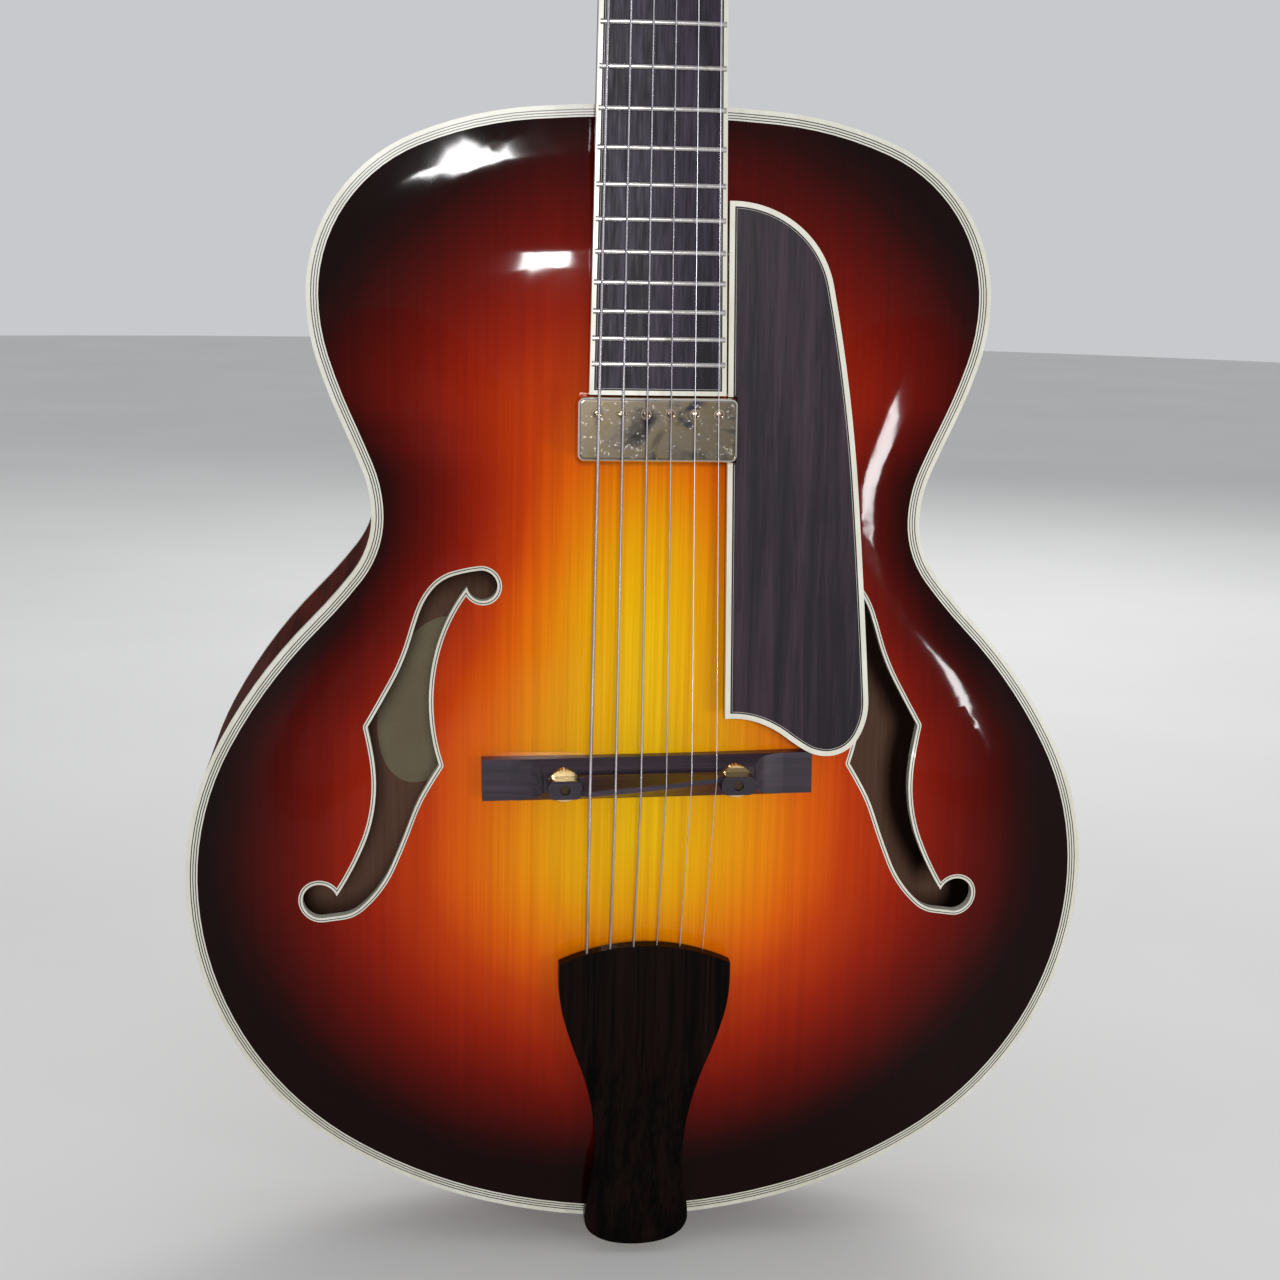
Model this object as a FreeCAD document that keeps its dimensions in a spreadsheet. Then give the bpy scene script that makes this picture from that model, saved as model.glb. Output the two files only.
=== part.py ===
"""Archtop guitar: a hollow carved body, a set-in neck, a floating pickup and an adjustable bridge.

The instrument is drawn on the bench, lying on its back: x to the treble side, y up the neck from the
tail edge, z out of the front from the rim. One placement then stands it upright, front towards -Y,
with the origin at the mouth of the end-pin jack.
"""
import FreeCAD
import Part
import Sketcher
import math
import os
import re
from FreeCAD import Placement, Rotation, Vector

# Driving dimensions, in millimetres, degrees and counts.
SIZES = {
    # Body outline seen from the front: widths and how far up from the tail edge they lie.
    "body_length": 505.5,
    "lower_bout": 406.0, "lower_bout_rise": 165.0,
    "waist_width": 241.0, "waist_rise": 329.0,
    "upper_bout": 295.4, "upper_bout_rise": 424.0,
    # Plates, ribs and their arching.
    "rib_depth": 76.0, "rib_wall": 2.4, "plate_edge": 5.0, "glue_line": 0.05,
    "top_arch": 16.0, "back_arch": 15.0, "arch_apex_rise": 240.0,
    "rim_flat": 7.0, "recurve_width": 62.0, "arch_margin": 12.0, "arch_columns": 31, "arch_rows": 37,
    # Edge trim: outer binding, then alternating dark and pale plies.
    "binding_wall": 1.9, "purfling_black_wall": 0.45, "purfling_white_wall": 0.65,
    "purfling_depth": 1.5, "purfling_pairs": 3,
    # Sound holes: two round eyes joined by a leaning stem.
    "f_hole_inset": 72.8, "f_hole_lean": 70.7, "f_hole_rise": 158.1, "f_hole_span": 142.7,
    "f_hole_upper_eye": 6.0, "f_hole_lower_eye": 7.2,
    "f_hole_template_gap": 0.6, "f_hole_binding_wall": 0.95, "f_hole_line_wall": 0.4, "f_hole_edge_wall": 0.55,
    # Inside the body.
    "neck_block_width": 78.0, "neck_block_length": 46.0,
    "tail_block_width": 64.0, "tail_block_length": 24.0,
    "lining_width": 6.0, "lining_height": 14.0,
    "tone_bar_width": 7.0, "tone_bar_height": 14.0, "tone_bar_spacing": 76.0,
    "tone_bar_start": 70.0, "tone_bar_length": 365.0,
    "label_width": 48.0, "label_length": 85.0, "label_thickness": 0.25,
    "label_inset": 94.3, "label_rise": 226.2, "label_tilt": 15.5,
    # Scale and the line of the neck.
    "scale_length": 635.0, "bridge_rise": 220.9, "string_height": 44.8,
    "nut_drop": 4.5, "nut_action": 1.9, "neck_angle": 4.0,
    # Fingerboard, frets and nut.
    "nut_width": 44.5, "nut_length": 5.0, "nut_crown": 2.1, "slot_gap": 0.06,
    "board_end_width": 58.0, "board_length": 469.7, "board_thickness": 6.5, "board_radius": 305.0,
    "board_binding_wall": 1.9, "fret_count": 22, "fret_width": 2.4, "fret_height": 1.1, "fret_end_gap": 0.7,
    # Neck shaft, heel and the joint to the body.
    "shaft_side": 3.5, "shaft_depth_nut": 14.0, "shaft_depth_heel": 17.0, "shaft_end": 362.0,
    "heel_top_level": 8.0, "heel_top_width": 52.0, "heel_top_reach": 44.0,
    "heel_foot_width": 29.0, "heel_foot_reach": 15.0, "heel_nose_length": 12.0, "heel_cap_thickness": 2.5,
    "tenon_width": 22.0, "tenon_length": 18.0, "tenon_depth": 62.0, "tenon_root": 8.0, "tenon_gap": 0.15,
    "extension_inset": 3.0, "extension_depth": 26.0, "extension_float": 0.4, "extension_end": 4.0, "extension_lap": 10.0,
    # Headstock.
    "head_angle": 13.0, "head_length": 172.0, "head_width": 82.0, "head_thickness": 15.0,
    "veneer_thickness": 1.5, "throat_length": 28.0, "throat_width": 46.0, "throat_side": 11.5,
    # Truss rod with its nut and cover.
    "rod_radius": 2.5, "rod_depth": 8.0, "rod_end_gap": 6.0, "rod_nose": 19.0, "rod_gap": 0.1,
    "rod_nut_radius": 3.6, "rod_nut_length": 9.0,
    "rod_pocket_start": 7.0, "rod_pocket_width": 9.5, "rod_pocket_length": 30.0, "rod_pocket_depth": 11.0,
    "rod_cover_start": 6.0, "rod_cover_length": 44.0, "rod_cover_width": 26.0, "rod_cover_tip": 13.0,
    "rod_cover_thickness": 2.0, "rod_cover_screw_inset": 3.6,
    # Tuners: posts, gear wheels, worms, housings and buttons.
    "post_first": 45.0, "post_spacing": 42.0, "post_offset": 24.0, "post_flare": 1.5,
    "post_radius": 3.0, "post_journal_radius": 2.2, "post_waist_radius": 2.5, "post_cap_radius": 3.3,
    "post_shoulder": 5.0, "post_waist_length": 7.0, "post_cap_length": 3.0, "post_hole_radius": 0.9,
    "post_bevel": 0.8, "worm_pitch": 2.2, "worm_turns": 5, "worm_facets": 14,
    "worm_pitch_radius": 2.5, "worm_addendum": 0.6,
    "thread_root_width": 0.95, "thread_tip_width": 0.5,
    "gear_teeth": 15, "gear_addendum": 0.3, "gear_dedendum": 0.95, "gear_width": 3.0,
    "gear_tooth_root_width": 0.85, "gear_tooth_tip_width": 0.42, "gear_level": 6.5,
    "shaft_radius": 1.6, "shaft_gap": 0.1, "housing_gap": 0.6, "housing_wall": 1.6, "housing_fillet": 1.5,
    "lug_radius": 3.0, "lug_height": 2.2,
    "button_start": 16.5, "button_collar_length": 3.0, "button_collar_radius": 2.6,
    "button_length": 15.0, "button_width": 20.0, "button_thickness": 7.0, "button_fillet": 2.6,
    "bushing_radius": 4.8, "bushing_length": 9.0, "bushing_gap": 0.1, "bushing_seat_gap": 0.05,
    "bushing_flange_radius": 6.8, "bushing_flange_height": 2.0,
    # Small wood screws.
    "screw_head_radius": 2.0, "screw_head_height": 1.2, "screw_shank_radius": 1.1, "screw_length": 7.0,
    # Pickguard.
    "pickguard_length": 237.5, "pickguard_width": 66.0, "pickguard_side": 29.4, "pickguard_foot": 229.0,
    "pickguard_thickness": 4.0, "pickguard_level": 29.0, "pickguard_tilt": 2.6, "pickguard_binding_wall": 2.2,
    "pickguard_notch_gap": 0.5, "support_radius": 4.0,
    # Pickup.
    "pickup_length": 68.0, "pickup_width": 27.0, "pickup_height": 13.5, "pickup_level": 30.3,
    "pickup_board_gap": 0.8, "pickup_corner": 3.0, "pickup_top_fillet": 1.7, "pickup_wall": 0.8,
    "pickup_base_thickness": 1.2, "pole_spacing": 10.3, "pole_offset": 6.6, "pole_head_radius": 2.4,
    "pole_head_height": 0.8, "pole_slot_width": 0.7, "pole_slot_depth": 0.5, "pole_shank_radius": 1.4,
    "pole_length": 10.5, "pole_gap": 0.1, "coil_length": 60.0, "coil_width": 9.5, "coil_height": 8.0, "coil_gap": 0.5,
    "bracket_length": 12.0, "bracket_width": 10.0, "bracket_thickness": 5.0, "bracket_gap": 0.2,
    # Bridge.
    "bridge_centre_rise": 218.0, "bridge_skew": 1.2, "bridge_base_length": 145.4, "bridge_base_depth": 18.5,
    "bridge_crest": 26.0, "bridge_pad_level": 20.4, "bridge_crest_length": 92.0, "bridge_scoop": 14.0,
    "bridge_cut_depth": 60.0, "bridge_deck_depth": 9.0, "bridge_shoulder": 0.4,
    "stud_spacing": 75.0, "stud_radius": 2.1, "stud_length": 19.5, "stud_seat": 7.0, "stud_gap": 0.1,
    "thumb_radius": 7.2, "thumb_thickness": 4.0, "thumb_lift": 2.5, "thumb_knurls": 30, "thumb_knurl_radius": 0.35,
    "saddle_lift": 0.3, "saddle_depth": 9.4, "saddle_shoulder": 3.0, "saddle_span": 62.0, "saddle_ear_length": 14.8,
    "saddle_ear_depth": 8.2, "saddle_ear_corner": 3.0, "saddle_ear_height": 7.2,
    "saddle_crest_width": 2.2, "saddle_crest_drop": 0.1,
    "saddle_crest_rise": 219.3, "saddle_crest_lean": 5.8,
    # Tailpiece and its hanger.
    "tail_overhang": 10.7, "tail_length": 152.2, "tail_head_width": 76.4, "tail_waist_width": 40.2,
    "tail_foot_width": 47.8, "tail_head_sagitta": 8.2, "tail_thickness": 6.5,
    "tail_head_level": 25.5, "tail_knee_rise": 60.0, "tail_knee_level": 21.0, "tail_foot_level": 7.5,
    "hanger_width": 26.0, "hanger_thickness": 1.6, "hanger_gap": 0.2, "hanger_reach": 38.0,
    "hanger_drop": 58.0, "hanger_screw_rise": 24.0,
    # End-pin jack.
    "jack_reach": 14.0, "jack_radius": 6.0, "jack_bore_radius": 3.25, "jack_bore_length": 36.0,
    "jack_flange_radius": 9.0, "jack_flange_length": 4.0, "jack_neck_radius": 6.6, "jack_bevel": 1.2,
    "jack_gap": 0.1, "jack_tip": 1.0, "jack_nut_radius": 9.5, "jack_nut_length": 3.5,
    # Strings, from the lowest to the highest.
    "string_radius_low_e": 0.66, "string_radius_a": 0.53, "string_radius_d": 0.41,
    "string_radius_g": 0.30, "string_radius_b": 0.215, "string_radius_high_e": 0.165,
    "string_spread_nut": 38.5, "string_spread_bridge": 54.4, "string_spread_tail": 51.4,
    "string_tail_rise": 131.0, "string_tail_level": 22.3, "string_hole_gap": 0.35,
    "string_bend": 4.0, "string_wrap_gap": 0.3, "string_wrap_turn": 270.0,
    # Length by which every cutting shape passes the piece that it cuts.
    "overrun": 2.0,
    # Worked out from others: the nut's place above the tail edge, the rod, which ends short of the body, and
    # the pickup's place behind the fingerboard's end.
    "nut_rise": "=bridge_rise + sqrt(scale_length ^ 2 - (string_height + nut_drop - nut_action) ^ 2)",
    "rod_length": "=nut_rise - body_length - rod_end_gap",
    "pickup_rise": "=nut_rise - board_length * cos(neck_angle) - pickup_board_gap - pickup_width / 2",
}

# How much of the arch falls away towards the sides and towards the ends.
CROSS_FALL_SHARE = 0.85
LONG_FALL_SHARE = 0.55
# Bends of the body outline between its named widths: x share, y share and heading in degrees.
TAIL_CORNER_SHARES = (0.64, 0.2133, 31.5)
LOWER_FLANK_SHARES = (0.321, 0.7226, 134.5)
UPPER_FLANK_SHARES = (0.478, 0.437, 65.5)
SHOULDER_SHARES = (0.69, 0.826, 157.5)
# Sound hole: stretches between its corners, as shares of lean and span with headings.
F_HOLE_OUTER_UPPER_SHARES = ((0.298, 0.975, -52.0), (0.423, 0.830, -74.0), (0.693, 0.554, -60.0))
F_HOLE_OUTER_LOWER_SHARES = ((0.693, 0.554, -104.0), (0.641, 0.377, -90.0))
F_HOLE_INNER_LOWER_SHARES = ((0.758, -0.015, 138.0), (0.441, 0.279, 109.0), (0.269, 0.444, 122.0))
F_HOLE_INNER_UPPER_SHARES = ((0.269, 0.444, 72.0), (0.332, 0.643, 90.0))
# Where the stem leaves and meets the eyes, as angles round them.
UPPER_EYE_LEAVES, UPPER_EYE_MEETS = 80.0, 5.0
LOWER_EYE_MEETS, LOWER_EYE_LEAVES = 170.0, -100.0
UPPER_STEM_HEADING, LOWER_STEM_HEADING = 128.0, -57.0
# Heel sections from top to foot: shares of its depth, of its narrowing and of its drawing in.
HEEL_SHARES = ((0.0, 0.0, 0.0), (0.24, 0.36, 0.60), (0.58, 0.72, 0.87), (1.0, 1.0, 1.0))
# Half headstock outline: x share of half the width, y share of the length, heading.
HEAD_SIDE_SHARES = ((0.543, 0.0, 88.0), (0.70, 0.095, 52.0), (0.885, 0.215, 86.0), (1.0, 0.87, 86.0))
HEAD_CREST_SHARES = ((1.0, 0.87, 150.0), (0.50, 0.955, 146.0), (0.0, 1.0, 180.0))
# Pickguard outline: shares of its width and length with headings; corners part the two runs.
PICKGUARD_EDGE_SHARES = (
    (0.0, 1.0, 2.0), (0.684, 0.855, -78.0), (0.997, 0.106, -86.0),
    (0.73, 0.0, 180.0), (0.45, 0.0357, 142.5), (0.045, 0.070, 186.0),
)
PICKGUARD_SUPPORT_SHARES = ((0.30, 0.88), (0.72, 0.30), (0.30, 0.22))
# Half tailpiece outline, from the foot up: shares between its named half widths and of its length.
TAIL_FOOT_SHARES = ((0.0, 0.0, 0.0), (0.83, 0.0385, 40.0), (1.0, 0.0966, 90.0))
TAIL_FLARE_SHARES = (0.60, 0.182, 101.0)
TAIL_WAIST_SHARE = 0.333
TAIL_FLANK_SHARES = (0.49, 0.642, 69.0)
TAIL_SHOULDER_SHARE = 0.90
# Saddle sections as shares of half its span; the last ones run out into the ears.
SADDLE_SHARES = (-1.0, -0.9, -0.6, -0.3, 0.0, 0.3, 0.6, 0.9, 1.0)

STRING_RADII = ("low_e", "a", "d", "g", "b", "high_e")
WOUND_STRINGS = 4
X, Y, Z = Vector(1, 0, 0), Vector(0, 1, 0), Vector(0, 0, 1)
MIRROR = Vector(1, 0, 0)

doc = FreeCAD.newDocument("ArchtopGuitar")
sheet = doc.addObject("Spreadsheet::Sheet", "Sizes")
for row, (name, amount) in enumerate(SIZES.items(), 1):
    sheet.set(f"A{row}", name)
    sheet.set(f"B{row}", str(amount))
    sheet.setAlias(f"B{row}", name)
doc.recompute()
NODES = []


class Sizes:
    """Reads a named cell of the sheet as a plain number."""

    def __getattr__(self, name):
        return float(sheet.get(name))


S = Sizes()


# Expressions and document objects

def number(expression):
    """Works out a sum of products of named sizes, such as "rib_depth / 2 + plate_edge"."""
    total = 0.0
    for sign, term in re.findall(r"([+-]?)\s*([^+-]+)", expression):
        product = 1.0
        for operator, factor in re.findall(r"([*/]?)\s*([\w.]+)", term):
            value = getattr(S, factor) if factor in SIZES else float(factor)
            product = product / value if operator == "/" else product * value
        total += -product if sign == "-" else product
    return total


def bound(expression):
    """Points every size named in an expression at its cell."""
    return re.sub(r"[a-z_]\w*", lambda m: "Sizes." + m[0] if m[0] in SIZES else m[0], expression)


def primitive(kind, name, sizes, base=("0", "0", "0"), turn=None):
    """A basic solid whose sizes and place are bound to the sheet."""
    obj = doc.addObject("Part::" + kind, name)
    if turn:
        obj.Placement = Placement(Vector(), turn)
    for prop, expression in sizes.items():
        obj.setExpression(prop, bound(expression))
    for axis, expression in zip("xyz", base):
        obj.setExpression("Placement.Base." + axis, bound(expression))
    return obj


def box(name, sizes, base):
    """A box by its three sizes and its lowest corner."""
    return primitive("Box", name, dict(zip(("Length", "Width", "Height"), sizes)), base)


def cylinder(name, radius, height, base, turn=None):
    """A cylinder from the middle of its first end."""
    return primitive("Cylinder", name, {"Radius": radius, "Height": height}, base, turn)


def feature(name, shape):
    """An object that carries a shape worked out here."""
    obj = doc.addObject("Part::Feature", name)
    obj.Shape = shape
    return obj


def extruded(name, face, length, level):
    """A flat face drawn at zero, raised to a level and given a length, both bound to the sheet."""
    obj = doc.addObject("Part::Extrusion", name)
    obj.Base = feature(name + "_face", face)
    obj.DirMode = "Custom"
    obj.Dir = Z
    obj.Solid = True
    obj.setExpression("LengthFwd", bound(length))
    obj.setExpression("Placement.Base.z", bound(level))
    return obj


def cut(name, base, *tools):
    """The base less each tool in turn."""
    for tool in tools:
        obj = doc.addObject("Part::Cut", name)
        obj.Base, obj.Tool = base, tool
        base = obj
    return base


def common(name, base, tool):
    """What two objects share."""
    obj = doc.addObject("Part::Common", name)
    obj.Base, obj.Tool = base, tool
    return obj


def fuse(name, *parts):
    """Several objects as one solid."""
    obj = doc.addObject("Part::MultiFuse", name)
    obj.Shapes = list(parts)
    return obj


def node(label, parts, placement):
    """Registers a sub-part: its solids, its name and its place."""
    obj = doc.addObject("Part::Compound", label)
    obj.Label = label
    obj.Links = list(parts)
    obj.Placement = placement
    NODES.append(obj)
    return obj


def moved(shape, placement):
    """A copy of a shape in another frame."""
    copy = shape.copy()
    copy.Placement = placement * copy.Placement
    return copy


def sketched(body, name, role, corners):
    """A closed polygon on one of a body's own planes, each corner bound to the sheet."""
    sketch = body.newObject("Sketcher::SketchObject", name)
    plane = next(f for f in body.Origin.OriginFeatures if f.Role == role)
    sketch.AttachmentSupport = [(plane, "")]
    sketch.MapMode = "FlatFace"
    points = [Vector(number(a), number(b), 0) for a, b in corners]
    for index, point in enumerate(points):
        sketch.addGeometry(Part.LineSegment(point, points[(index + 1) % len(points)]))
    for index in range(len(points)):
        sketch.addConstraint(Sketcher.Constraint("Coincident", index, 2, (index + 1) % len(points), 1))
    for index, corner in enumerate(corners):
        for kind, expression in zip(("DistanceX", "DistanceY"), corner):
            place = sketch.addConstraint(
                Sketcher.Constraint(kind, -1, 1, index, 1, number(expression)))
            sketch.setExpression(f"Constraints[{place}]", bound(expression))
    return sketch


def turned(name, corners):
    """A body of revolution about its own z axis, from a profile of radius and height."""
    body = doc.addObject("PartDesign::Body", name)
    sketch = sketched(body, name + "_profile", "XZ_Plane", corners)
    spin = body.newObject("PartDesign::Revolution", name + "_turning")
    spin.Profile = sketch
    spin.ReferenceAxis = (sketch, ["V_Axis"])
    spin.Angle = 360
    doc.recompute()
    return body


# Outlines of tangent arcs

def heading_vector(degrees):
    """The unit vector of a heading."""
    return Vector(math.cos(math.radians(degrees)), math.sin(math.radians(degrees)), 0)


def angle_of(vector):
    """The heading of a vector."""
    return math.degrees(math.atan2(vector.y, vector.x))


def wrapped(degrees):
    """An angle between -180 and 180."""
    return (degrees + 180) % 360 - 180


def biarc(start, heading, end, end_heading):
    """Two tangent arcs from start to end, each as (from, heading, to)."""
    first, last = heading_vector(heading), heading_vector(end_heading)
    chord, both = end - start, first + last
    bend = 2 * (1 - first.dot(last))
    reach = chord.dot(both)
    if bend < 1e-9:
        arm = chord.dot(chord) / (2 * reach)
    else:
        arm = (math.sqrt(reach ** 2 + bend * chord.dot(chord)) - reach) / bend
    joint = (start + end + (first - last) * arm) * 0.5
    return [(start, heading, joint), (joint, 2 * angle_of(joint - start) - heading, end)]


def run_of_arcs(stops):
    """Tangent arcs through stops given as (x, y, heading)."""
    arcs = []
    for (x0, y0, h0), (x1, y1, h1) in zip(stops, stops[1:]):
        arcs += biarc(Vector(x0, y0, 0), h0, Vector(x1, y1, 0), h1)
    return arcs


def turn_of(arc):
    """Half the angle that an arc turns through."""
    start, heading, end = arc
    return wrapped(angle_of(end - start) - heading)


def arc_edge(arc):
    """The edge of one arc, or a straight edge where it doesn't turn."""
    start, heading, end = arc
    chord = end - start
    half_turn = turn_of(arc)
    if abs(half_turn) < 1e-4:
        return Part.LineSegment(start, end).toShape()
    right = Vector(chord.y, -chord.x, 0)
    bulge = 0.5 * math.tan(math.radians(half_turn / 2))
    return Part.Arc(start, (start + end) * 0.5 + right * bulge, end).toShape()


def round_edge(centre, radius, start, sweep):
    """An arc of a circle, by its start angle and sweep."""
    spots = [centre + heading_vector(start + sweep * part) * radius for part in (0, 0.5, 1)]
    return Part.Arc(*spots).toShape()


def shifted(arc, inset):
    """An arc moved to its own left, which on an outline drawn anticlockwise is inwards."""
    start, heading, end = arc
    end_heading = heading + 2 * turn_of(arc)
    return (start + heading_vector(heading + 90) * inset, heading, end + heading_vector(end_heading + 90) * inset)


def mirrored_wire(edges):
    """A closed wire from the edges of its right half and their mirror images."""
    left = [edge.mirror(Vector(), MIRROR) for edge in edges]
    return Part.Wire(Part.__sortEdges__(edges + left))


def between(low, high, part):
    """The value a share of the way from low to high."""
    return low + (high - low) * part


def body_arcs():
    """The right half of the body outline, from the tail edge to the neck."""
    low, mid, top = S.lower_bout / 2, S.waist_width / 2, S.upper_bout / 2
    tail, flank, upper, shoulder = TAIL_CORNER_SHARES, LOWER_FLANK_SHARES, UPPER_FLANK_SHARES, SHOULDER_SHARES
    return run_of_arcs([
        (0, 0, 0),
        (low * tail[0], S.lower_bout_rise * tail[1], tail[2]),
        (low, S.lower_bout_rise, 90),
        (between(mid, low, flank[0]), between(S.lower_bout_rise, S.waist_rise, flank[1]), flank[2]),
        (mid, S.waist_rise, 90),
        (between(mid, top, upper[0]), between(S.waist_rise, S.upper_bout_rise, upper[1]), upper[2]),
        (top, S.upper_bout_rise, 90),
        (top * shoulder[0], between(S.upper_bout_rise, S.body_length, shoulder[1]), shoulder[2]),
        (0, S.body_length, 180),
    ])


BODY_ARCS = body_arcs()


def body_face(inset, inner=None):
    """The body's outline set in by a wall, as a face or as the ring out from a second inset."""
    outer = mirrored_wire([arc_edge(shifted(arc, inset)) for arc in BODY_ARCS])
    if inner is None:
        return Part.Face(outer)
    hole = mirrored_wire([arc_edge(shifted(arc, inner)) for arc in BODY_ARCS])
    return Part.Face(outer).cut(Part.Face(hole)).Faces[0]


def raised(face, low, high):
    """A plain solid from a flat face between two levels."""
    return moved(face, Placement(Z * low, Rotation())).extrude(Z * (high - low))


# Arching

def edge_distance(point):
    """How far inside the outline a point of the right half lies."""
    best = None
    for arc in BODY_ARCS:
        start, heading, end = arc
        half_turn = turn_of(arc)
        radius = (end - start).Length / (2 * math.sin(math.radians(half_turn)))
        centre = start + heading_vector(heading + 90) * radius
        spoke, first = point - centre, start - centre
        swept = wrapped(angle_of(spoke) - angle_of(first)) * math.copysign(1, half_turn)
        if -1e-6 <= swept <= 2 * abs(half_turn) + 1e-6:
            depth = math.copysign(1, radius) * (abs(radius) - spoke.Length)
            if best is None or abs(depth) < abs(best):
                best = depth
    return 0.0 if best is None else best


def eased(part):
    """A ramp from 0 to 1 that starts and ends without a bend."""
    part = min(max(part, 0.0), 1.0)
    return part ** 3 * (part * (6 * part - 15) + 10)


def half_width(rise):
    """Half the body's width, eased between the bouts and the waist."""
    low, mid, top = S.lower_bout / 2, S.waist_width / 2, S.upper_bout / 2
    if rise < S.waist_rise:
        return between(low, mid, eased((rise - S.lower_bout_rise) / (S.waist_rise - S.lower_bout_rise)))
    return between(mid, top, eased((rise - S.waist_rise) / (S.upper_bout_rise - S.waist_rise)))


def arch_height(x, y, height):
    """Height of an arched plate above its flat rim."""
    ramp = eased((edge_distance(Vector(abs(x), y, 0)) - S.rim_flat) / S.recurve_width)
    across = 1 - CROSS_FALL_SHARE * (x / half_width(y)) ** 2
    along = 1 - LONG_FALL_SHARE * ((y - S.arch_apex_rise) / (S.body_length / 2)) ** 2
    return height * ramp * max(across, 0) * max(along, 0)


def arch_face(height, level):
    """The curved face of a plate over a rectangle a little larger than the body."""
    columns, rows = int(S.arch_columns), int(S.arch_rows)
    reach = S.lower_bout / 2 + S.arch_margin
    grid = []
    for column in range(columns):
        x = between(-reach, reach, column / (columns - 1))
        line = []
        for row in range(rows):
            y = between(-S.arch_margin, S.body_length + S.arch_margin, row / (rows - 1))
            line.append(Vector(x, y, level + arch_height(x, y, height)))
        grid.append(line)
    surface = Part.BSplineSurface()
    surface.interpolate(grid)
    return surface.toShape()


RIM_DEPTH = S.rib_depth + 2 * S.plate_edge
MID_DEPTH = S.plate_edge + S.rib_depth / 2
PURFLING_WALL = S.purfling_pairs * (S.purfling_black_wall + S.purfling_white_wall)
TOP_FACE = arch_face(S.top_arch, 0)
BACK_FACE = arch_face(-S.back_arch, -RIM_DEPTH)


def under_top(drop, depth):
    """A slab that follows the front from a drop below it, as thick as depth."""
    return moved(TOP_FACE, Placement(Z * -drop, Rotation())).extrude(Z * -depth)


# Frames: bench to upright, neck, headstock, pickguard, pickup and bridge
UPRIGHT = Placement(Vector(0, -MID_DEPTH, S.jack_reach), Rotation(X, 90))
NECK = Placement(Vector(0, S.nut_rise, -S.nut_drop), Rotation(X, -S.neck_angle))
HEAD = NECK * Placement(Z * -S.board_thickness, Rotation(X, -S.head_angle))
PICKGUARD = Placement(Vector(0, S.bridge_rise, S.pickguard_level), Rotation(X, -S.pickguard_tilt))
PICKUP = Placement(Vector(0, S.pickup_rise, S.pickup_level), Rotation(X, -S.neck_angle))
BRIDGE = Placement(Vector(0, S.bridge_centre_rise, 0), Rotation(Z, S.bridge_skew))


# Sound holes

def f_hole_wire():
    """The treble sound hole: two eyes and the stem with its two nicks."""
    def stops(table):
        return [(S.f_hole_inset + x * S.f_hole_lean, S.f_hole_rise + y * S.f_hole_span, h) for x, y, h in table]

    upper = Vector(S.f_hole_inset, S.f_hole_rise + S.f_hole_span, 0)
    lower = Vector(S.f_hole_inset + S.f_hole_lean, S.f_hole_rise, 0)
    leave_up = upper + heading_vector(UPPER_EYE_LEAVES) * S.f_hole_upper_eye
    meet_up = upper + heading_vector(UPPER_EYE_MEETS) * S.f_hole_upper_eye
    meet_low = lower + heading_vector(LOWER_EYE_MEETS) * S.f_hole_lower_eye
    leave_low = lower + heading_vector(LOWER_EYE_LEAVES) * S.f_hole_lower_eye
    arcs = run_of_arcs([(leave_up.x, leave_up.y, UPPER_EYE_LEAVES - 90)] + stops(F_HOLE_OUTER_UPPER_SHARES))
    arcs += run_of_arcs(stops(F_HOLE_OUTER_LOWER_SHARES) + [(meet_low.x, meet_low.y, LOWER_STEM_HEADING)])
    edges = [arc_edge(arc) for arc in arcs]
    edges.append(round_edge(lower, S.f_hole_lower_eye, LOWER_EYE_MEETS, LOWER_EYE_LEAVES - LOWER_EYE_MEETS))
    arcs = run_of_arcs([(leave_low.x, leave_low.y, LOWER_EYE_LEAVES - 90)] + stops(F_HOLE_INNER_LOWER_SHARES))
    arcs += run_of_arcs(stops(F_HOLE_INNER_UPPER_SHARES) + [(meet_up.x, meet_up.y, UPPER_STEM_HEADING)])
    edges += [arc_edge(arc) for arc in arcs]
    edges.append(round_edge(upper, S.f_hole_upper_eye, UPPER_EYE_MEETS,
                            UPPER_EYE_LEAVES - UPPER_EYE_MEETS - 360))
    return Part.Wire(edges)


def f_hole_column(wall):
    """A column through the plate: the hole's template grown by a wall all round, and its mirror image."""
    wire = F_HOLE.makeOffset2D(wall)
    column = raised(Part.Face(wire), -S.plate_edge - S.overrun, S.top_arch + S.overrun)
    return Part.makeCompound([column, column.mirror(Vector(), MIRROR)])


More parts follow.
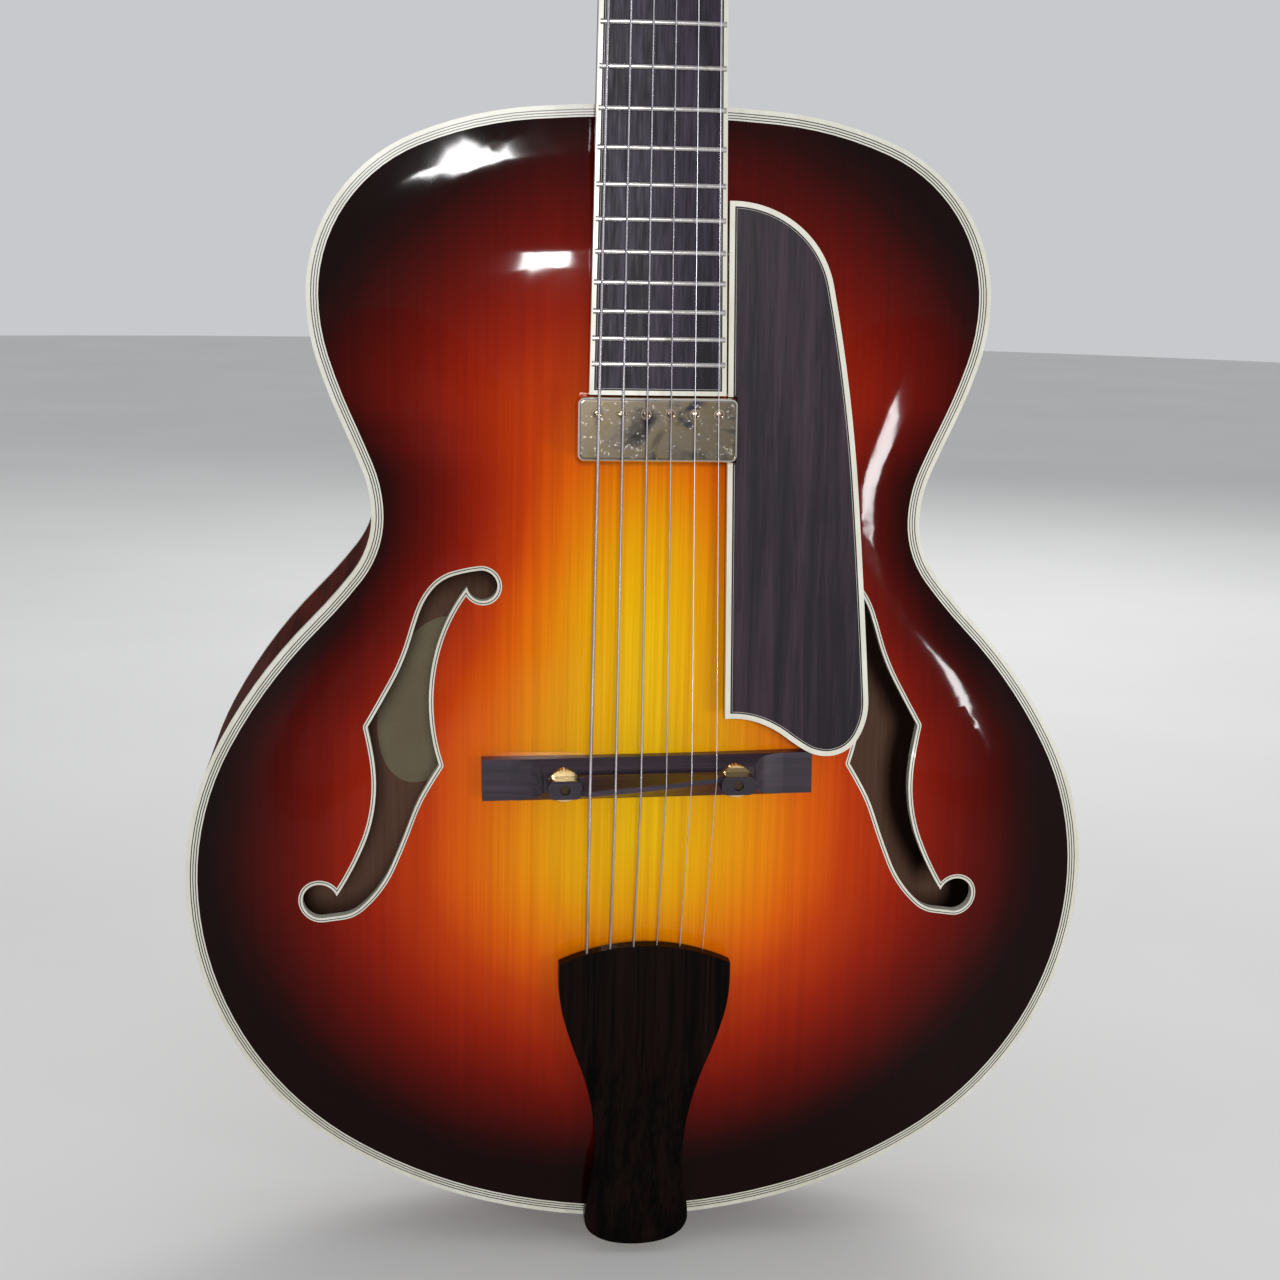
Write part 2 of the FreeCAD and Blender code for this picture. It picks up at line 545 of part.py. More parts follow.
def build_plates():
    """Top and back plates with their sound holes, and the trim let into the front."""
    walls = [S.f_hole_template_gap]
    for wall in (S.f_hole_binding_wall, S.f_hole_line_wall, S.f_hole_edge_wall):
        walls.append(walls[-1] + wall)
    columns = [f_hole_column(wall) for wall in walls]
    slab = under_top(0, S.plate_edge)
    outline = raised(body_face(S.binding_wall), -S.plate_edge - S.overrun, S.top_arch + S.overrun)
    inner = S.binding_wall + PURFLING_WALL + S.glue_line
    channel = raised(body_face(S.binding_wall, inner), -S.purfling_depth, S.overrun)
    top = slab.common(outline).cut([channel, columns[-1]])
    rings = [[outer.cut(inner).common(slab) for outer, inner in zip(big.Solids, small.Solids)]
             for small, big in zip(columns, columns[1:])]
    solids = [[solid for ring in pair for solid in ring.Solids] for pair in rings]
    node("top_plate", [feature("carved_top", top)], UPRIGHT)
    node("f_hole_binding", [feature("hole_edges", Part.makeCompound(solids[0] + solids[2]))], UPRIGHT)
    node("f_hole_purfling", [feature("hole_lines", Part.makeCompound(solids[1]))], UPRIGHT)
    low = -RIM_DEPTH - S.back_arch - S.overrun
    back_outline = raised(body_face(S.binding_wall), low, -S.rib_depth)
    back = BACK_FACE.extrude(Z * S.plate_edge).common(back_outline)
    node("back_plate", [feature("carved_back", back)], UPRIGHT)


def build_trim():
    """Bindings round both plates and the plies inside the front one."""
    node("top_binding", [extruded("top_edge", body_face(0, S.binding_wall), "plate_edge", "-plate_edge")], UPRIGHT)
    back_level = "-rib_depth - 2 * plate_edge"
    node("back_binding", [extruded("back_edge", body_face(0, S.binding_wall), "plate_edge", back_level)], UPRIGHT)
    plies = {"black": [], "white": []}
    inset = S.binding_wall
    for pair in range(int(S.purfling_pairs)):
        for colour, wall in (("black", S.purfling_black_wall), ("white", S.purfling_white_wall)):
            face = body_face(inset, inset + wall)
            plies[colour].append(extruded(f"ply_{colour}", face, "purfling_depth", "-purfling_depth"))
            inset += wall
    for colour, rings in plies.items():
        node("top_purfling_" + colour, rings, UPRIGHT)


def build_rim():
    """Ribs, blocks and linings, with the mortise for the neck and the hole for the jack."""
    top = "-plate_edge - glue_line"
    floor = "-plate_edge - rib_depth + glue_line"
    height = "rib_depth - 2 * glue_line"
    mortise = box("mortise", ("tenon_width + 2 * tenon_gap", "tenon_length + tenon_root + overrun",
                              "tenon_depth + plate_edge + tenon_gap"),
                  ("-tenon_width / 2 - tenon_gap", "body_length - tenon_length - tenon_gap",
                   "-tenon_depth - plate_edge - tenon_gap"))
    bore = cylinder("jack_hole", "jack_radius + jack_gap", "tail_block_length + rib_wall + 2 * overrun",
                    ("0", "-overrun", "-plate_edge - rib_depth / 2"), Rotation(X, -90))
    ring = body_face(0, S.rib_wall)
    reach = S.lower_bout
    for side, start in (("bass", -reach), ("treble", 0)):
        half = Part.makePlane(reach, S.body_length + 2 * S.overrun, Vector(start, -S.overrun, 0))
        rib = extruded("rib_strip_" + side, ring.common(half).Faces[0], height, floor)
        node("rib_" + side, [cut("rib_cut_" + side, rib, mortise, bore)], UPRIGHT)
    inside = extruded("inside", body_face(S.rib_wall), height, floor)
    neck_box = box("neck_block_blank", ("neck_block_width", "neck_block_length", height),
                   ("-neck_block_width / 2", "body_length - rib_wall - neck_block_length", floor))
    tail_box = box("tail_block_blank", ("tail_block_width", "tail_block_length + rib_wall", height),
                   ("-tail_block_width / 2", "0", floor))
    node("neck_block", [cut("neck_block_cut", common("neck_block_fit", neck_box, inside), mortise)], UPRIGHT)
    node("tail_block", [cut("tail_block_cut", common("tail_block_fit", tail_box, inside), bore)], UPRIGHT)
    strip = body_face(S.rib_wall, S.rib_wall + S.lining_width)
    for side, level in (("top", top + " - lining_height"), ("back", floor)):
        lining = extruded(side + "_lining_strip", strip, "lining_height", level)
        node(side + "_lining", [cut(side + "_lining_cut", lining, neck_box, tail_box)], UPRIGHT)


def build_inside():
    """Tone bars carved to the front, and the blank label on the back."""
    slab = under_top(S.plate_edge + S.glue_line, S.tone_bar_height)
    bars = []
    for side in (-1, 1):
        low = Vector(side * S.tone_bar_spacing / 2 - S.tone_bar_width / 2, S.tone_bar_start, -RIM_DEPTH)
        column = Part.makeBox(S.tone_bar_width, S.tone_bar_length, RIM_DEPTH + S.top_arch, low)
        bars.append(slab.common(column))
    node("tone_bars", [feature("bars", Part.makeCompound(bars))], UPRIGHT)
    ellipse = Part.Ellipse(Vector(), S.label_length / 2, S.label_width / 2).toShape()
    patch = moved(Part.Face(Part.Wire(ellipse)), Placement(
        Vector(-S.label_inset, S.label_rise, -RIM_DEPTH - S.back_arch), Rotation(Z, 90 - S.label_tilt)))
    paper = moved(BACK_FACE, Placement(Z * (S.plate_edge + S.glue_line), Rotation())).extrude(Z * S.label_thickness)
    label = paper.common(patch.extrude(Z * RIM_DEPTH))
    node("paper_label", [feature("label", label)], UPRIGHT)


# Neck

def board_width(distance):
    """Width of the fingerboard at a distance from the nut."""
    return between(S.nut_width, S.board_end_width, distance / S.board_length)


def tapered(start, end, inset, low, high):
    """A slab along the neck, from one distance to another, set in from the fingerboard's edges."""
    corners = []
    for distance, side in ((start, -1), (start, 1), (end, 1), (end, -1)):
        corners.append(Vector(side * (board_width(distance) / 2 - inset), -distance, low))
    return Part.Face(Part.makePolygon(corners + corners[:1])).extrude(Z * (high - low))


def section(width, side, depth, top):
    """A neck section in the xz plane: flat on top, short sides and a round back."""
    half = width / 2
    left, right = Vector(-half, 0, top), Vector(half, 0, top)
    low_left, low_right = left - Z * side, right - Z * side
    edges = [
        Part.LineSegment(right, left).toShape(),
        Part.LineSegment(left, low_left).toShape(),
        Part.Arc(low_left, Vector(0, 0, top - depth), low_right).toShape(),
        Part.LineSegment(low_right, right).toShape(),
    ]
    return Part.Wire(edges)


def heel_section(width, reach, level):
    """A level section of the heel: straight sides behind a round nose."""
    half, back = width / 2, S.body_length - S.tenon_length / 2
    nose = S.body_length + reach
    side = nose - min(S.heel_nose_length, reach)
    corners = [Vector(-half, side, level), Vector(-half, back, level), Vector(half, back, level),
               Vector(half, side, level)]
    edges = [Part.LineSegment(a, b).toShape() for a, b in zip(corners, corners[1:])]
    edges.append(Part.Arc(corners[-1], Vector(0, nose, level), corners[0]).toShape())
    return Part.Wire(edges)


def heel_foot():
    """Level of the heel's foot, where its cap begins."""
    return -RIM_DEPTH + S.heel_cap_thickness


def head_face():
    """The headstock's outline in its own plane."""
    half = S.head_width / 2
    stops = [[(x * half, y * S.head_length, h) for x, y, h in table] for table in (HEAD_SIDE_SHARES, HEAD_CREST_SHARES)]
    edges = [arc_edge(arc) for run in stops for arc in run_of_arcs(run)]
    edges.append(Part.LineSegment(Vector(0, 0, 0), Vector(stops[0][0][0], 0, 0)).toShape())
    return Part.Face(mirrored_wire(edges))


def throat_wedge():
    """What is carved from the headstock's back, so that it runs out thin towards the neck."""
    line = [(0, -S.shaft_side), (S.throat_length, -S.head_thickness), (S.throat_length, -2 * S.head_thickness),
            (-S.overrun, -2 * S.head_thickness), (-S.overrun, -S.shaft_side)]
    points = [Vector(-S.head_width / 2, y, z) for y, z in line]
    return Part.Face(Part.makePolygon(points + points[:1])).extrude(X * S.head_width)


def post_place(index):
    """Where a string post stands on the headstock: 0 to 2 up the bass side, 3 to 5 down the treble side."""
    step = index if index < 3 else 5 - index
    side = -1 if index < 3 else 1
    return Vector(side * (S.post_offset + step * S.post_flare), S.post_first + step * S.post_spacing, 0)


def cover_face():
    """The truss-rod cover: a plain tapered plate."""
    wide, tip = S.rod_cover_width / 2, S.rod_cover_tip / 2
    low, high = S.rod_cover_start, S.rod_cover_start + S.rod_cover_length
    corners = [Vector(-wide, low, 0), Vector(wide, low, 0), Vector(tip, high, 0), Vector(-tip, high, 0)]
    return Part.Face(Part.makePolygon(corners + corners[:1]))


def cover_screw_places():
    """The two screws on the cover's middle line."""
    inset, high = S.rod_cover_screw_inset, S.rod_cover_start + S.rod_cover_length
    return [Vector(0, high - inset, 0), Vector(-S.rod_cover_width / 2 + inset, S.rod_cover_start + inset, 0),
            Vector(S.rod_cover_width / 2 - inset, S.rod_cover_start + inset, 0)]


def screw_shape():
    """A small wood screw, its head's underside at zero and its shank pointing down."""
    head = Part.makeCylinder(S.screw_head_radius, S.screw_head_height)
    shank = Part.makeCylinder(S.screw_shank_radius, S.screw_length, Vector(0, 0, -S.screw_length))
    return head.fuse(shank).removeSplitter()


def screw_placements():
    """Every small screw on the bench: on the cover, on the tuner housings and in the tailpiece hanger."""
    cover_top = S.veneer_thickness + S.rod_cover_thickness
    places = [HEAD * Placement(spot + Z * cover_top, Rotation()) for spot in cover_screw_places()]
    lug = Vector(0, -lug_offset(), -S.head_thickness - S.lug_height)
    places += [HEAD * Placement(post_place(index) + lug, Rotation(X, 180)) for index in range(6)]
    slope = tail_slope()
    for side in (-1, 1):
        seat = Vector(side * S.hanger_width / 4, S.hanger_screw_rise,
                      tail_under(S.hanger_screw_rise) - S.glue_line - S.hanger_thickness / math.cos(slope))
        places.append(Placement(seat, Rotation(X, 180 + math.degrees(slope))))
    return places


def lug_offset():
    """Distance of a housing's screw lug from its post."""
    return gear_tip() + S.housing_gap + S.housing_wall + S.lug_radius


def build_neck():
    """The one-piece neck, cut for the body, the truss rod, the tuners and their screws."""
    level = -S.board_thickness
    heel_end = section(board_width(S.shaft_end), S.shaft_side, S.shaft_depth_heel, level)
    nut_end = section(S.nut_width, S.shaft_side, S.shaft_depth_nut, level)
    throat = section(S.throat_width, S.throat_side, S.head_thickness, 0)
    sections = [moved(heel_end, NECK * Placement(Y * -S.shaft_end, Rotation())), moved(nut_end, NECK)]
    shaft = Part.makeLoft(sections, True, True)
    throat_end = moved(throat, HEAD * Placement(Y * S.throat_length, Rotation()))
    neck_throat = Part.makeLoft([sections[1], throat_end], True, True)
    rows = []
    for depth_share, narrow_share, draw_share in HEEL_SHARES:
        rows.append(heel_section(between(S.heel_top_width, S.heel_foot_width, narrow_share),
                                 between(S.heel_top_reach, S.heel_foot_reach, draw_share),
                                 between(S.heel_top_level, heel_foot(), depth_share)))
    heel = Part.makeLoft(rows, True, False)
    extension = tapered(S.shaft_end - S.extension_lap, S.board_length - S.extension_end, S.extension_inset,
                        level - S.extension_depth, level)
    head = moved(raised(head_face(), -S.head_thickness, 0).cut(throat_wedge()), HEAD)
    blank = shaft.fuse([neck_throat, heel, moved(extension, NECK), head])
    void = under_top(-S.extension_float, RIM_DEPTH + S.top_arch + S.overrun)
    blank = blank.cut(void.common(raised(body_face(0), -RIM_DEPTH - S.overrun, S.top_arch + S.overrun)))
    tenon = Part.makeBox(S.tenon_width, S.tenon_length + S.tenon_root, S.tenon_depth - 2 * S.tenon_gap, Vector(
        -S.tenon_width / 2, S.body_length - S.tenon_length, -S.tenon_depth - S.plate_edge))
    blank = blank.fuse(tenon).removeSplitter()
    bed = Part.makeBox(S.head_width, S.nut_length + S.board_length, S.board_thickness + S.overrun, Vector(
        -S.head_width / 2, -S.board_length, -S.board_thickness))
    rod = Part.makeCylinder(S.rod_radius + S.rod_gap, S.rod_length + S.rod_nose, Vector(
        0, -S.rod_length, level - S.rod_depth), Y)
    pocket = Part.makeBox(S.rod_pocket_width, S.rod_pocket_length, S.rod_pocket_depth + S.overrun, Vector(
        -S.rod_pocket_width / 2, S.rod_pocket_start, -S.rod_pocket_depth))
    tools = [moved(bed, NECK), moved(rod, NECK), moved(pocket, HEAD)]
    tools += [moved(drilling(index), HEAD) for index in range(6)]
    tools += screw_tools()
    node("neck", [feature("neck_wood", blank.cut(tools))], UPRIGHT)
    cap = Part.Face(heel_section(S.heel_foot_width, S.heel_foot_reach, -RIM_DEPTH)).extrude(Z * S.heel_cap_thickness)
    cap = cap.cut(raised(body_face(0), -RIM_DEPTH - S.overrun, 0))
    node("heel_cap", [feature("heel_plate", cap)], UPRIGHT)


def drilling(index):
    """The hole for one string post, right through the headstock and its veneer."""
    depth = S.head_thickness + S.veneer_thickness + 2 * S.overrun
    foot = post_place(index) - Z * (S.head_thickness + S.overrun)
    return Part.makeCylinder(S.bushing_radius + S.bushing_seat_gap, depth, foot)


def screw_tools():
    """Solids of all the screws, for cutting their holes."""
    return [moved(screw_shape(), place) for place in screw_placements()]


def build_fingerboard():
    """Fingerboard, its binding, the frets and the nut."""
    crown = Part.makeCylinder(S.board_radius, S.board_length + 2 * S.overrun, Vector(
        0, -S.board_length - S.overrun, -S.board_radius), Y)
    wall = S.board_binding_wall
    whole = tapered(0, S.board_length, 0, -S.board_thickness, S.overrun).common(crown)
    core = tapered(0, S.board_length - wall, wall, -S.board_thickness, S.overrun)
    node("fingerboard", [feature("board", whole.common(core))], UPRIGHT * NECK)
    node("fingerboard_binding", [feature("board_edge", whole.cut(core))], UPRIGHT * NECK)
    frets = []
    axis = Vector(0, 0, -S.board_radius)
    for index in range(1, int(S.fret_count) + 1):
        distance = S.scale_length * (1 - 2 ** (-index / 12))
        half = S.fret_width / 2
        profile = Part.Wire([
            Part.Arc(Vector(0, -distance - half, 0), Vector(0, -distance, S.fret_height),
                     Vector(0, -distance + half, 0)).toShape(),
            Part.LineSegment(Vector(0, -distance + half, 0), Vector(0, -distance - half, 0)).toShape(),
        ])
        span = math.degrees((board_width(distance) - 2 * S.fret_end_gap) / S.board_radius)
        wire = Part.Face(profile).revolve(axis, Y, span)
        wire.rotate(axis, Y, -span / 2)
        frets.append(wire)
    node("frets", [feature("fret_wires", Part.makeCompound(frets))], UPRIGHT * NECK)
    blank = box("nut_blank", ("nut_width", "nut_length", "board_thickness + nut_crown"),
                ("-nut_width / 2", "glue_line", "-board_thickness"))
    blank_fit = common("nut_crowned", blank, feature("nut_crown_shape", Part.makeCylinder(
        S.board_radius + S.nut_crown, 4 * S.nut_length, Vector(0, -S.nut_length, -S.board_radius), Y)))
    slots = feature("nut_slots", moved(STRING_TOOLS, NECK.inverse()))
    node("nut", [cut("nut_slotted", blank_fit, slots)], UPRIGHT * NECK)


def build_headstock():
    """Veneer, truss rod, its nut, its cover and all the small screws."""
    front = S.nut_length / math.cos(math.radians(S.head_angle)) + S.slot_gap
    face = head_face().cut(Part.makePlane(S.head_width, front + S.overrun, Vector(
        -S.head_width / 2, -S.overrun, 0)))
    nut_space = Part.makeBox(S.head_width, S.nut_length + S.slot_gap + S.overrun, S.board_thickness * 2, Vector(
        -S.head_width / 2, -S.overrun, -S.board_thickness))
    pocket = Part.makeBox(S.rod_pocket_width, S.rod_pocket_length, S.veneer_thickness + 2 * S.overrun, Vector(
        -S.rod_pocket_width / 2, S.rod_pocket_start, -S.overrun))
    tools = [pocket, moved(nut_space, HEAD.inverse() * NECK)] + [drilling(index) for index in range(6)]
    tools += [moved(tool, HEAD.inverse()) for tool in screw_tools()]
    veneer = raised(face.Faces[0], 0, S.veneer_thickness).cut(tools)
    node("headstock_veneer", [feature("veneer", veneer)], UPRIGHT * HEAD)
    axis_level = "-board_thickness - rod_depth"
    along = Rotation(X, -90)
    rod = cylinder("rod", "rod_radius", "rod_length + rod_nose", ("0", "-rod_length", axis_level), along)
    node("truss_rod", [rod], UPRIGHT * NECK)
    hexagon = primitive("Prism", "rod_nut_blank", {"Circumradius": "rod_nut_radius", "Height": "rod_nut_length"},
                        ("0", "rod_nose - rod_nut_length", axis_level), along)
    thread = cylinder("rod_nut_bore", "rod_radius + rod_gap / 2", "rod_length + rod_nose + overrun",
                      ("0", "-rod_length", axis_level), along)
    node("truss_rod_nut", [cut("rod_nut_bored", hexagon, thread)], UPRIGHT * NECK)
    plate = extruded("cover_plate", cover_face(), "rod_cover_thickness", "veneer_thickness")
    holes = feature("cover_holes", Part.makeCompound([moved(tool, HEAD.inverse()) for tool in screw_tools()[:3]]))
    node("truss_rod_cover", [cut("cover_drilled", plate, holes)], UPRIGHT * HEAD)
    node("small_screws", [feature("screws", Part.makeCompound(screw_tools()))], UPRIGHT)


# Tuners, drawn for the treble side with the post on the z axis and the headstock's back at zero

def gear_pitch_radius():
    """Pitch radius that gives the gear the worm's pitch."""
    return S.worm_pitch * S.gear_teeth / (2 * math.pi)


def gear_tip():
    """Radius over the gear's teeth."""
    return gear_pitch_radius() + S.gear_addendum


def worm_tip():
    """Radius over the worm's thread."""
    return S.worm_pitch_radius + S.worm_addendum


def worm_centre():
    """The worm's axis, beside the gear."""
    return Vector(0, gear_pitch_radius() + S.worm_pitch_radius, -S.gear_level)


def gear_shape():
    """The gear wheel: straight teeth round a hub, bored for the post."""
    root, tip = gear_pitch_radius() - S.gear_dedendum, gear_tip()
    corners = []
    for tooth in range(int(S.gear_teeth)):
        middle = 90 + 360 * tooth / S.gear_teeth
        for radius, width, side in ((root, S.gear_tooth_root_width, -1), (tip, S.gear_tooth_tip_width, -1),
                                    (tip, S.gear_tooth_tip_width, 1), (root, S.gear_tooth_root_width, 1)):
            corners.append(heading_vector(middle + side * math.degrees(width / 2 / radius)) * radius)
    blank = Part.Face(Part.makePolygon(corners + corners[:1]))
    level = -S.gear_level - S.gear_width / 2
    wheel = raised(blank, level, level + S.gear_width)
    return wheel.cut(Part.makeCylinder(S.post_journal_radius, S.gear_width, Z * level))


def worm_shape():
    """The worm on its shaft: a right-hand thread along x, a gap of it facing the middle tooth."""
    length = S.worm_pitch * S.worm_turns
    root = S.worm_pitch_radius - S.worm_addendum
    wide, narrow = S.thread_root_width / 2, S.thread_tip_width / 2
    inner, outer = root - S.shaft_gap, worm_tip()
    facets = int(S.worm_facets)
    sections = []
    for step in range(int(S.worm_turns) * facets + 1):
        spoke, level = heading_vector(360 * step / facets), Z * (S.worm_pitch * step / facets)
        corners = [spoke * inner - Z * wide, spoke * outer - Z * narrow, spoke * outer + Z * narrow,
                   spoke * inner + Z * wide]
        sections.append(Part.makePolygon([corner + level for corner in corners + corners[:1]]))
    thread = Part.makeLoft(sections, True, True)
    end = length / 2 + S.worm_pitch / 2
    core = Part.makeCylinder(root, length + S.worm_pitch, Vector(0, 0, -S.worm_pitch / 2))
    shaft = Part.makeCylinder(S.shaft_radius, S.button_start + S.button_collar_length - end, Z * (length / 2 + end))
    whole = thread.fuse([core, shaft]).removeSplitter()
    whole = moved(whole, Placement(Z * (-length / 2), Rotation()))
    lying = Rotation(Vector(0, -1, 0), Vector(0, 0, -1), Vector(1, 0, 0), "XZY")
    return moved(whole, Placement(worm_centre(), lying))


def button_shape():
    """The finger button: a flat oval knob with rounded edges, behind a collar."""
    seat = worm_centre() + X * S.button_start
    wide, far = S.button_width / 2, S.button_length / 2
    half = run_of_arcs([(0, -wide, 0), (far, 0, 90), (0, wide, 180)])
    oval = Part.Face(mirrored_wire([arc_edge(arc) for arc in half]))
    knob = raised(oval, -S.button_thickness / 2, S.button_thickness / 2)
    rims = [edge for edge in knob.Edges if edge.Vertexes[0].Z * edge.Vertexes[-1].Z > 0]
    knob = knob.makeFillet(S.button_fillet, rims)
    knob = moved(knob, Placement(seat + X * (S.button_collar_length + far), Rotation()))
    collar = Part.makeCylinder(S.button_collar_radius, S.button_collar_length + S.button_length / 4, seat, X)
    bore = Part.makeCylinder(S.shaft_radius, S.button_collar_length, seat, X)
    return knob.fuse(collar).removeSplitter().cut(bore)


def housing_shape():
    """The gear housing: a shell open towards the headstock, with a lug for its screw."""
    reach_x = S.worm_pitch * (S.worm_turns + 1) / 2 + S.housing_gap
    low_y = -gear_tip() - S.housing_gap
    high_y = worm_centre().y + worm_tip() + S.housing_gap
    depth = S.gear_level + worm_tip() + S.housing_gap
    wall = S.housing_wall
    outside = Part.makeBox(2 * (reach_x + wall), high_y - low_y + 2 * wall, depth + wall,
                           Vector(-reach_x - wall, low_y - wall, -depth - wall))
    rounded = [edge for edge in outside.Edges if min(v.Z for v in edge.Vertexes) < -depth]
    outside = outside.makeFillet(S.housing_fillet, rounded)
    inside = Part.makeBox(2 * reach_x, high_y - low_y, depth, Vector(-reach_x, low_y, -depth))
    hole = Part.makeCylinder(S.shaft_radius + S.shaft_gap, 2 * (reach_x + wall), worm_centre(), X)
    lug = Part.makeCylinder(S.lug_radius, S.lug_height, Vector(0, -lug_offset(), -S.lug_height))
    web = Part.makeBox(2 * S.lug_radius, lug_offset() + low_y, S.lug_height,
                       Vector(-S.lug_radius, -lug_offset(), -S.lug_height))
    return outside.fuse([lug, web]).removeSplitter().cut([inside, hole])


def tuner_place(index):
    """The frame of one tuner on the headstock's back."""
    return HEAD * Placement(post_place(index) - Z * S.head_thickness, Rotation())


def handed(shape, index):
    """A tuner piece for its side: the bass side's are mirror images."""
    return shape.mirror(Vector(), MIRROR) if index < 3 else shape


def build_tuners():
    """Six tuners: housings, bushings, keys with their worms, and posts with their gears."""
    housings = []
    bushings = []
    face = "head_thickness + veneer_thickness"
    bushing = turned("bushing", [
        ("post_radius + bushing_gap", face + " - bushing_length"), ("bushing_radius", face + " - bushing_length"),
        ("bushing_radius", face), ("bushing_flange_radius", face),
        ("bushing_flange_radius", face + " + bushing_flange_height - post_bevel"),
        ("bushing_flange_radius - post_bevel", face + " + bushing_flange_height"),
        ("post_radius + bushing_gap", face + " + bushing_flange_height")])
    foot = "-gear_level - gear_width / 2 - housing_gap"
    shoulder = "-gear_level + gear_width / 2 + housing_gap"
    waist = face + " + bushing_flange_height + post_shoulder"
    cap = waist + " + post_waist_length"
    post = turned("post", [
        ("0", foot), ("post_journal_radius", foot), ("post_journal_radius", shoulder), ("post_radius", shoulder),
        ("post_radius", waist + " - post_bevel"), ("post_waist_radius", waist), ("post_waist_radius", cap),
        ("post_cap_radius", cap + " + post_bevel"), ("post_cap_radius", cap + " + post_cap_length - post_bevel"),
        ("post_waist_radius", cap + " + post_cap_length"), ("0", cap + " + post_cap_length")])
    hole = cylinder("string_hole", "post_hole_radius", "2 * post_radius + 2 * overrun",
                    ("0", "post_radius + overrun", waist + " + post_waist_length / 2"), Rotation(X, 90))
    drilled = cut("post_drilled", post, hole)
    doc.recompute()
    worm, button, gear, housing = worm_shape(), button_shape(), gear_shape(), housing_shape()
    for index in range(6):
        place = tuner_place(index)
        key = [moved(handed(shape, index), place) for shape in (worm, button)]
        stem = [moved(handed(shape, index), place) for shape in (drilled.Shape, gear)]
        node(f"tuner_key_{index + 1}", [feature("key", Part.makeCompound(key))], UPRIGHT)
        node(f"string_post_{index + 1}", [feature("post_and_gear", Part.makeCompound(stem))], UPRIGHT)
        housings.append(moved(handed(housing, index), place).cut(screw_tools()[3 + index]))
        bushings.append(moved(bushing.Shape, place))
    node("tuner_housings", [feature("housings", Part.makeCompound(housings))], UPRIGHT)
    node("tuner_bushings", [feature("bushings", Part.makeCompound(bushings))], UPRIGHT)


# Pickguard and pickup

def pickguard_wire():
    """The pickguard's outline in its own plane, with the origin over the bridge line."""
    stops = []
    for x, y, heading in PICKGUARD_EDGE_SHARES:
        stops.append((S.pickguard_side + x * S.pickguard_width,
                      S.pickguard_foot - S.bridge_rise + y * S.pickguard_length, heading))
    edges = [arc_edge(arc) for arc in run_of_arcs(stops)]
    edges.append(Part.LineSegment(Vector(*stops[-1][:2], 0), Vector(*stops[0][:2], 0)).toShape())
    return Part.Wire(edges)


def build_pickguard():
    """The pickguard with its binding, notched round the pickup, on three dowels."""
    outer = pickguard_wire()
    inner = outer.makeOffset2D(-S.pickguard_binding_wall, join=2)
    whole = raised(Part.Face(outer), -S.pickguard_thickness, 0)
    core = raised(Part.Face(inner), -S.pickguard_thickness, 0)
    gap = S.pickguard_notch_gap
    notch = Part.makeBox(S.pickup_length + 2 * gap, S.pickup_width + 2 * gap, S.pickup_level, Vector(
        -S.pickup_length / 2 - gap, -S.pickup_width / 2 - gap, -S.pickup_level / 2))
    notch = moved(notch, PICKGUARD.inverse() * PICKUP)
    node("pickguard", [feature("guard", core.cut(notch))], UPRIGHT * PICKGUARD)
    node("pickguard_binding", [feature("guard_edge", whole.cut(core).cut(notch))], UPRIGHT * PICKGUARD)
    dowels = []
    floor = under_top(-S.glue_line, RIM_DEPTH)
    ceiling = Part.makeBox(2 * S.lower_bout, 2 * S.body_length, S.string_height, Vector(
        -S.lower_bout, -S.body_length, -S.pickguard_thickness - S.glue_line))
    for x, y in PICKGUARD_SUPPORT_SHARES:
        spot = Vector(S.pickguard_side + x * S.pickguard_width, S.pickguard_foot + y * S.pickguard_length, 0)
        dowel = Part.makeCylinder(S.support_radius, S.string_height, spot)
        dowels.append(dowel.cut([floor, moved(ceiling, PICKGUARD)]))
    node("pickguard_supports", [feature("dowels", Part.makeCompound(dowels))], UPRIGHT)


def pickup_cover():
    """The pickup's cover: a padded block with rounded edges, hollowed from below."""
    body = doc.addObject("PartDesign::Body", "cover")
    half_x, half_y = "pickup_length / 2", "pickup_width / 2"
    outline = [("-" + half_x, "-" + half_y), (half_x, "-" + half_y), (half_x, half_y), ("-" + half_x, half_y)]
    pad = body.newObject("PartDesign::Pad", "cover_block")
    pad.Profile = sketched(body, "cover_outline", "XY_Plane", outline)
    pad.Reversed = True
    pad.setExpression("Length", bound("pickup_height - pickup_base_thickness"))
    doc.recompute()
    corners = body.newObject("PartDesign::Fillet", "cover_corners")
    upright = [f"Edge{i}" for i, e in enumerate(pad.Shape.Edges, 1) if abs(e.tangentAt(e.FirstParameter).z) > 0.9]
    corners.Base = (pad, upright)
    corners.setExpression("Radius", bound("pickup_corner"))
    doc.recompute()
    rim = body.newObject("PartDesign::Fillet", "cover_rim")
    top = [f"Edge{i}" for i, e in enumerate(corners.Shape.Edges, 1) if e.BoundBox.ZMin > -S.glue_line]
    rim.Base = (corners, top)
    rim.setExpression("Radius", bound("pickup_top_fillet"))
    doc.recompute()
    hollow = box("cover_hollow", ("pickup_length - 2 * pickup_wall", "pickup_width - 2 * pickup_wall", "pickup_height"),
                 ("-pickup_length / 2 + pickup_wall", "-pickup_width / 2 + pickup_wall",
                  "-pickup_height - pickup_wall"))
    return cut("cover_shell", body, hollow)


